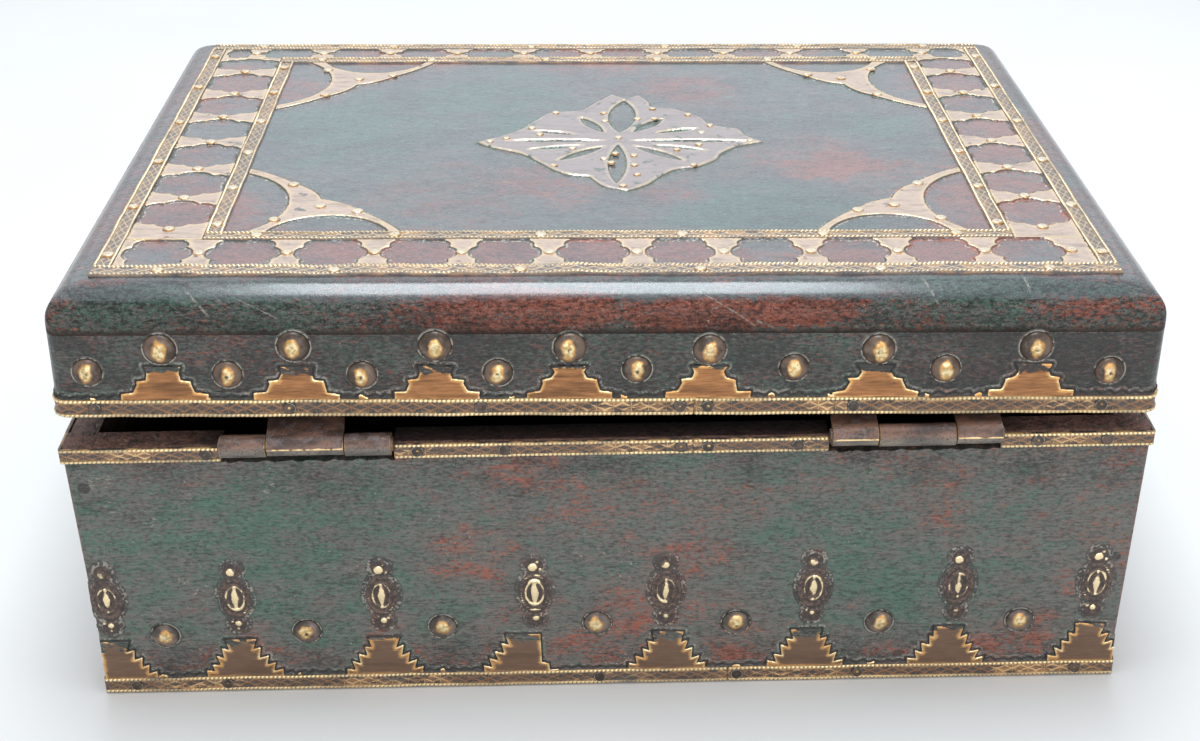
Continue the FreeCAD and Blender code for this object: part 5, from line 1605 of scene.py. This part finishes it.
# Small nails
# Round-headed brass nails through the bands, the pierced border and the plates, and
# smaller ones dotted over the medallion. Those in the bands are hammered nearly flat.
pin_radius = 1.45
pin_rise = 0.7
flat_nail_radius = pin_radius * 1.2
round_nail_radius = pin_radius * 1.15
round_nail_rise = pin_rise * 1.1
bead_radius = 0.9
lid_edge_pin_shares = (-0.925, -0.575, -0.230, 0.130, 0.180, 0.445, 0.896)
rim_pin_shares = (-0.736, -0.350, -0.190, 0.133, 0.183, 0.348, 0.789, 0.917)
foot_pin_shares = (-0.931, -0.753, -0.021, 0.249, 0.487, 0.918)
side_pin_shares = (-0.92, -0.46, 0.0, 0.46, 0.92)
top_pin_shares = (-0.87, -0.53, -0.17, 0.18, 0.53, 0.86)
# Both shapes of head from the crown out: share of the radius and share of the rise
flat_nail = (
    (0, 0.62), (0.30, 0.62), (0.55, 0.56), (0.70, 0.42), (0.80, 0.50), (0.92, 0.46), (1.0, 0.0),
)
round_nail = ((0, 0.70), (0.45, 0.69), (0.72, 0.64), (0.88, 0.50), (0.96, 0.26), (1.0, -0.05))


def nail_head(shape, radius, rise, seed):
    """A small head of one shape, given as shares of its radius and rise."""
    return button([(r * radius, h * rise) for r, h in shape], 14, seed, dent=0.04)


band_nail_brass = stud_brass(
    "nail_brass_bands", wide=0.30, tall=0.30, gloom=0.4, side_tone=(0.105, 0.070, 0.052),
    luck=1.1, centre=0.1)
top_nail_brass = stud_brass(
    "nail_brass_lid_top", wide=1.1, tall=1.1, gloom=0.0, side_tone=(0.40, 0.30, 0.22), pale=0.6,
    metal_share=0.55)
for name, body, rows in (
    ("lid_edge", "lid", ((lid_edge_band, lid_edge_pin_shares),)),
    ("chest", "chest", ((rim_band, rim_pin_shares), (foot_band, foot_pin_shares))),
):
    heads = []
    for (low, width), shares in rows:
        for side in SIDES:
            for share in shares if side in LONG_SIDES else side_pin_shares:
                head = nail_head(flat_nail, flat_nail_radius, pin_rise, len(heads) + 1)
                shift = (share * SIDES[side][1], low + width / 2, band_thickness * 0.55)
                heads.append(put_down(head, side, body == "lid", shift=shift))
    make_piece("nail_heads_" + name, body, "brass_studs", heads, band_nail_brass,
               body + "_band_pins")

sheet_top = sheet_thickness * 0.8
band_top = band_thickness * 0.5
spots = [(x, y, sheet_top, 1.0) for x, y in fret_nails]
for (x0, y0), (x1, y1) in top_frames.values():
    for share in top_pin_shares:
        across = (y0 + top_band_width / 2, y1 - top_band_width / 2)
        spots += [((x0 + x1) / 2 + share * (x1 - x0) / 2, y, band_top, 1.0) for y in across]
        across = (x0 + top_band_width / 2, x1 - top_band_width / 2)
        spots += [(x, (y0 + y1) / 2 + share * (y1 - y0) / 2, band_top, 1.0) for x in across]
for (x, y), (way_x, way_y) in corner_places:
    spots += [(x + way_x * a * corner_leg, y + way_y * u * corner_leg, sheet_top, 1.0)
              for a, u in plate_pin_shares]
spots += [(x, y, sheet_top + 0.1, bead_radius / pin_radius * 1.15) for x, y in medallion_beads]
heads = []
for seed, (x, y, z, size) in enumerate(spots):
    head = nail_head(round_nail, round_nail_radius * size, round_nail_rise, seed)
    heads.append(on_top(head, 0, (x, y), z))
make_piece("nail_heads_lid_top", "lid", "brass_studs", heads, top_nail_brass, "lid_top_pins")

# The two hinges
# Short lengths of sheet rolled round a wire pin into knuckles, let into notches in the
# back wall, their leaves nailed inside. A lid knuckle's free edge shows in front as a
# bright line, rubbed metal with a painted highlight. The rest is dark brown, rubbed to
# copper on top; the knuckles' undersides are painted grey as a reflection of the table,
# and the hidden leaves near black as painted shade.
barrel_y = -105.9
barrel_z = 79.1
knuckle_radius = {"lid": 3.1, "chest": 2.95}
knuckle_gap = 0.3
end_knuckle = 11.6
leaf_thickness = 0.9
leaf_drop = 13.0
leaf_face = -chest_depth / 2 + wall_thickness + 0.05
sheet_step = 0.45


def on_circle(radius, start, stop, count):
    """Points on the barrel's circle between two angles in degrees."""
    angles = np.radians(np.linspace(start, stop, count))
    return np.stack([barrel_y + radius * np.cos(angles), barrel_z + radius * np.sin(angles)], axis=1)


def lid_flange(x, low, inner_low):
    """The lid leaf's flat section at x, set down: its outer face, then its inner face."""
    flat = [(x, leaf_face, leaf_drop), (x, leaf_face, low),
            (x, leaf_face + leaf_thickness, inner_low), (x, leaf_face + leaf_thickness, leaf_drop)]
    return set_down(flat, on_lid=True)[:, 1:]


def chest_flange(foot, low, inner_low):
    """The chest leaf's flat section: it leans with the wall from its foot up."""
    inset = chest_lean * leaf_drop / chest_height
    return np.array([
        (leaf_face + inset, foot), (leaf_face, low), (leaf_face + leaf_thickness, inner_low),
        (leaf_face + leaf_thickness + inset, foot)])


def knuckle_section(owner, x, size):
    """The closed section of a knuckle and its leaf at x: (y, z) points and their marks.

    The lid's sheet leaves the barrel at its top, the chest's at its bottom. Marks say how
    much a point belongs to the roll's free edge, to its underside and to the hidden leaf.
    """
    radius = knuckle_radius[owner] * size
    inner = radius - sheet_step
    first = math.degrees(math.asin((radius - leaf_thickness) / inner))
    if owner == "lid":
        leaf = lid_flange(x, -0.45, -0.45 - leaf_thickness)
        roll = [on_circle(radius, 90, 176, 16), on_circle(inner, 178, 360 + first, 26)]
        free = np.r_[np.zeros(15), 0.4, 1, 1, 0.7, np.zeros(27)]
        under = np.r_[np.zeros(18), np.ones(26), np.zeros(2)]
    else:
        low = barrel_z - radius
        leaf = chest_flange(low - leaf_drop, low, low + leaf_thickness)
        roll = [on_circle(radius, 270, -30, 34), on_circle(inner, -32, -first, 8)]
        free = np.zeros(46)
        lower = np.clip((np.linspace(270, -30, 34) - 158) / 25, 0, 1)
        under = np.r_[np.zeros(2), lower, np.zeros(10)]
    hidden_leaf_shade = np.zeros(46)
    hidden_leaf_shade[[0, 1, -2, -1]] = 1
    return np.concatenate([leaf[:2], *roll, leaf[2:]]), np.stack([free, under, hidden_leaf_shade], axis=1)


def swept(sections, stations_x):
    """Closed sections along x joined into a tube, with a flat cap at each end."""
    points = np.array([[(x, y, z) for y, z in part] for x, part in zip(stations_x, sections)])
    rows, columns = points.shape[:2]
    index = np.arange(rows * columns).reshape(rows, columns)
    onward = np.roll(index, -1, axis=1)
    quads = np.stack([index[:-1], onward[:-1], onward[1:], index[1:]], axis=-1).reshape(-1, 4)
    caps = np.stack([index[0][::-1], index[-1]])
    y, z = points[0, :, 1], points[0, :, 2]
    if np.sum(y * np.roll(z, -1) - z * np.roll(y, -1)) < 0:
        quads, caps = quads[:, ::-1], caps[:, ::-1]
    return points.reshape(-1, 3), [quads, caps]


def hinge_leaf(owner, centre, lid_in_middle):
    """One half of a hinge: its own knuckles with their sheet, and the flange between."""
    left, right = centre - hinge_length / 2, centre + hinge_length / 2
    ends = [(left, left + end_knuckle), (right - end_knuckle, right)]
    middle = [(ends[0][1] + knuckle_gap, ends[1][0] - knuckle_gap)]
    own, other = (middle, ends) if (owner == "lid") == lid_in_middle else (ends, middle)
    runs = []
    for start, stop in own:
        x = np.r_[start, start + 0.12, np.linspace(start + 0.5, stop - 0.5, 16), stop - 0.12, stop]
        size = 1 - 0.012 * (1 + wander(x, 9.0, centre)) * (x > start + 0.2) * (x < stop - 0.2)
        size[[0, -1]] = 0.955
        sections, marks = zip(*[knuckle_section(owner, *pair) for pair in zip(x, size)])
        marks = np.array(marks)
        to_end = np.minimum(x - start, stop - x)[:, None]
        marks[..., 0] = np.maximum(np.exp(-to_end / 0.35) * (1 - marks[..., 2]), marks[..., 0])
        runs.append((x, sections, marks))
    for start, stop in other:
        if owner == "lid":
            sections = [lid_flange(x, 0.4, 0.4) for x in (start, stop)]
        else:
            low = barrel_z - knuckle_radius["chest"] - 1.0
            sections = [chest_flange(low - leaf_drop + 1.0, low, low)] * 2
        runs.append(((start, stop), sections, np.array([[(0.0, 0.0, 1.0)] * 4] * 2)))
    parts = []
    for x, sections, marks in runs:
        named = {mark: marks[..., i] for i, mark in enumerate(("edge", "under", "hidden_leaf_shade"))}
        parts.append((*swept(sections, x), named))
    return parts


hinge_metal, w, shader, place = new_material("dark_hinge_metal")
fine = w.noise(place, 1500.0, 4.0, 0.65, 2.0)
cloud = w.noise(w.scaled(place, (0.4, 1.0, 1.0)), 260.0, 4.0, 0.6, 4.0)
blotch = w.noise(place, 420.0, 3.0, 0.6, 9.0)
color = w.blend(w.step(cloud, 0.38, 0.62), (0.060, 0.037, 0.031), (0.215, 0.112, 0.076))
# The underside tone: a painted reflection of the pale table
under = w.blend(w.step(cloud, 0.40, 0.62), (0.110, 0.098, 0.088), (0.210, 0.180, 0.145))
under = w.blend(w.step(fine, 0.50, 0.62, 0.0, 0.7), under, (0.040, 0.034, 0.030))
# The free edge's bright line: rubbed metal and a painted highlight
edge = w.step(w.times_plus(blotch, 1.7, w.mark("edge")), 1.62, 1.86)
# Layered over it: the grey painted reflection on the undersides, the edge's painted highlight, and
# painted shade, near black, on the hidden leaves
color = w.layered(
    color, (w.step(blotch, 0.50, 0.64, 0.0, 0.7), (0.17, 0.13, 0.125)),
    (w.step(fine, 0.52, 0.66, 0.0, 0.8), (0.030, 0.024, 0.022)), (w.mark("under"), under),
    (edge, (0.80, 0.58, 0.30)), (w.mark("hidden_leaf_shade"), (0.022, 0.015, 0.013)))
surface(w, shader, w.times_plus(fine, 0.8, cloud), 0.8, 0.3, Base_Color=color,
        Metallic=w.times(edge, 0.9),
        Roughness=w.lerp(edge, w.step(fine, 0.3, 0.7, 0.24, 0.46), 0.3))
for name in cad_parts:
    if name.startswith("hinge_"):
        refinish(name, hinge_metal)
for name, centre in hinge_places.items():
    for owner in ("chest", "lid"):
        label = name + "_" + owner
        make_piece("rolled_hinge_" + label, owner, "hinge_metal",
                   hinge_leaf(owner, centre, name == "left"), hinge_metal,
                   "hinge_" + label + "_leaf")

# The table, the light and the camera
# A pale table top that runs out of sight, a wide window of light far behind the chest, a
# bright softbox above it, a window in front and pale surroundings.
floor_size = 6.0
floor_mesh = bpy.data.meshes.new("pale_table")
floor_corners = [(x * floor_size, y * floor_size, 0) for x, y in ((-1, -1), (1, -1), (1, 1), (-1, 1))]
floor_mesh.from_pydata(floor_corners, [], [(0, 1, 2, 3)])
floor = bpy.data.objects.new("pale_table", floor_mesh)
bpy.context.collection.objects.link(floor)
table_white, w, shader, place = new_material("pale_table_paint")
cloud = w.noise(place, 9.0, 3.0, 0.5, 1.0)
w.feed(shader.inputs["Base Color"], w.blend(cloud, (0.685, 0.675, 0.665), (0.76, 0.75, 0.74)))
shader.inputs["Roughness"].default_value = 0.55
shader.inputs["Specular IOR Level"].default_value = 0.2
floor_mesh.materials.append(table_white)

world = bpy.data.worlds.new("pale_room")
bpy.context.scene.world = world
world.use_nodes = True
sky = world.node_tree.nodes["Background"].inputs
sky["Color"].default_value = (0.925, 0.955, 0.985, 1.0)
sky["Strength"].default_value = 0.72


def soft_light(name, place, aim, size, radiance, color):
    """A rectangular light whose power is radiance times pi times its area."""
    light = bpy.data.lights.new(name, "AREA")
    light.shape = "RECTANGLE"
    light.size, light.size_y = size
    light.energy = radiance * math.pi * size[0] * size[1]
    light.color = color
    lamp = bpy.data.objects.new(name, light)
    bpy.context.collection.objects.link(lamp)
    lamp.location = place
    lamp.rotation_euler = (Vector(aim) - Vector(place)).to_track_quat("-Z", "Y").to_euler()


soft_light("window_behind", (0.0, 1.5, 0.98), (0, 0, 0.1), (2.2, 1.2), 0.54, (0.74, 0.88, 1.0))
soft_light("softbox_above", (0.0, 0.09, 1.05), (0, 0, 0.1), (0.46, 0.72), 10.0, (0.86, 0.94, 1.0))
soft_light("window_in_front", (0.2, -1.7, 0.55), (0, 0, 0.05), (1.8, 0.8), 2.6, (1.0, 0.985, 0.97))

focal_pixels = 1855.8
frame_width_pixels = 1200
camera_place = (-6.97, -510.9, 320.2)
camera_pitch = math.radians(28.62)
camera_yaw = math.radians(0.71)
camera_roll = math.radians(-0.65)
forward = np.array([
    math.sin(camera_yaw) * math.cos(camera_pitch),
    math.cos(camera_yaw) * math.cos(camera_pitch),
    -math.sin(camera_pitch),
])
level = np.array([math.cos(camera_yaw), -math.sin(camera_yaw), 0.0])
upward = np.cross(level, forward)
right = math.cos(camera_roll) * level + math.sin(camera_roll) * upward
upward = -math.sin(camera_roll) * level + math.cos(camera_roll) * upward
camera_data = bpy.data.cameras.new("photo_view")
camera_data.sensor_width = 36.0
camera_data.lens = focal_pixels * camera_data.sensor_width / frame_width_pixels
camera_data.clip_start = 0.01
camera = bpy.data.objects.new("photo_view", camera_data)
bpy.context.collection.objects.link(camera)
pose = np.eye(4)
pose[:3, 0], pose[:3, 1], pose[:3, 2] = right, upward, -forward
pose[:3, 3] = np.array(camera_place) * mm
camera.matrix_world = Matrix(pose.tolist())
bpy.context.scene.camera = camera
bpy.context.scene.view_settings.view_transform = "Standard"
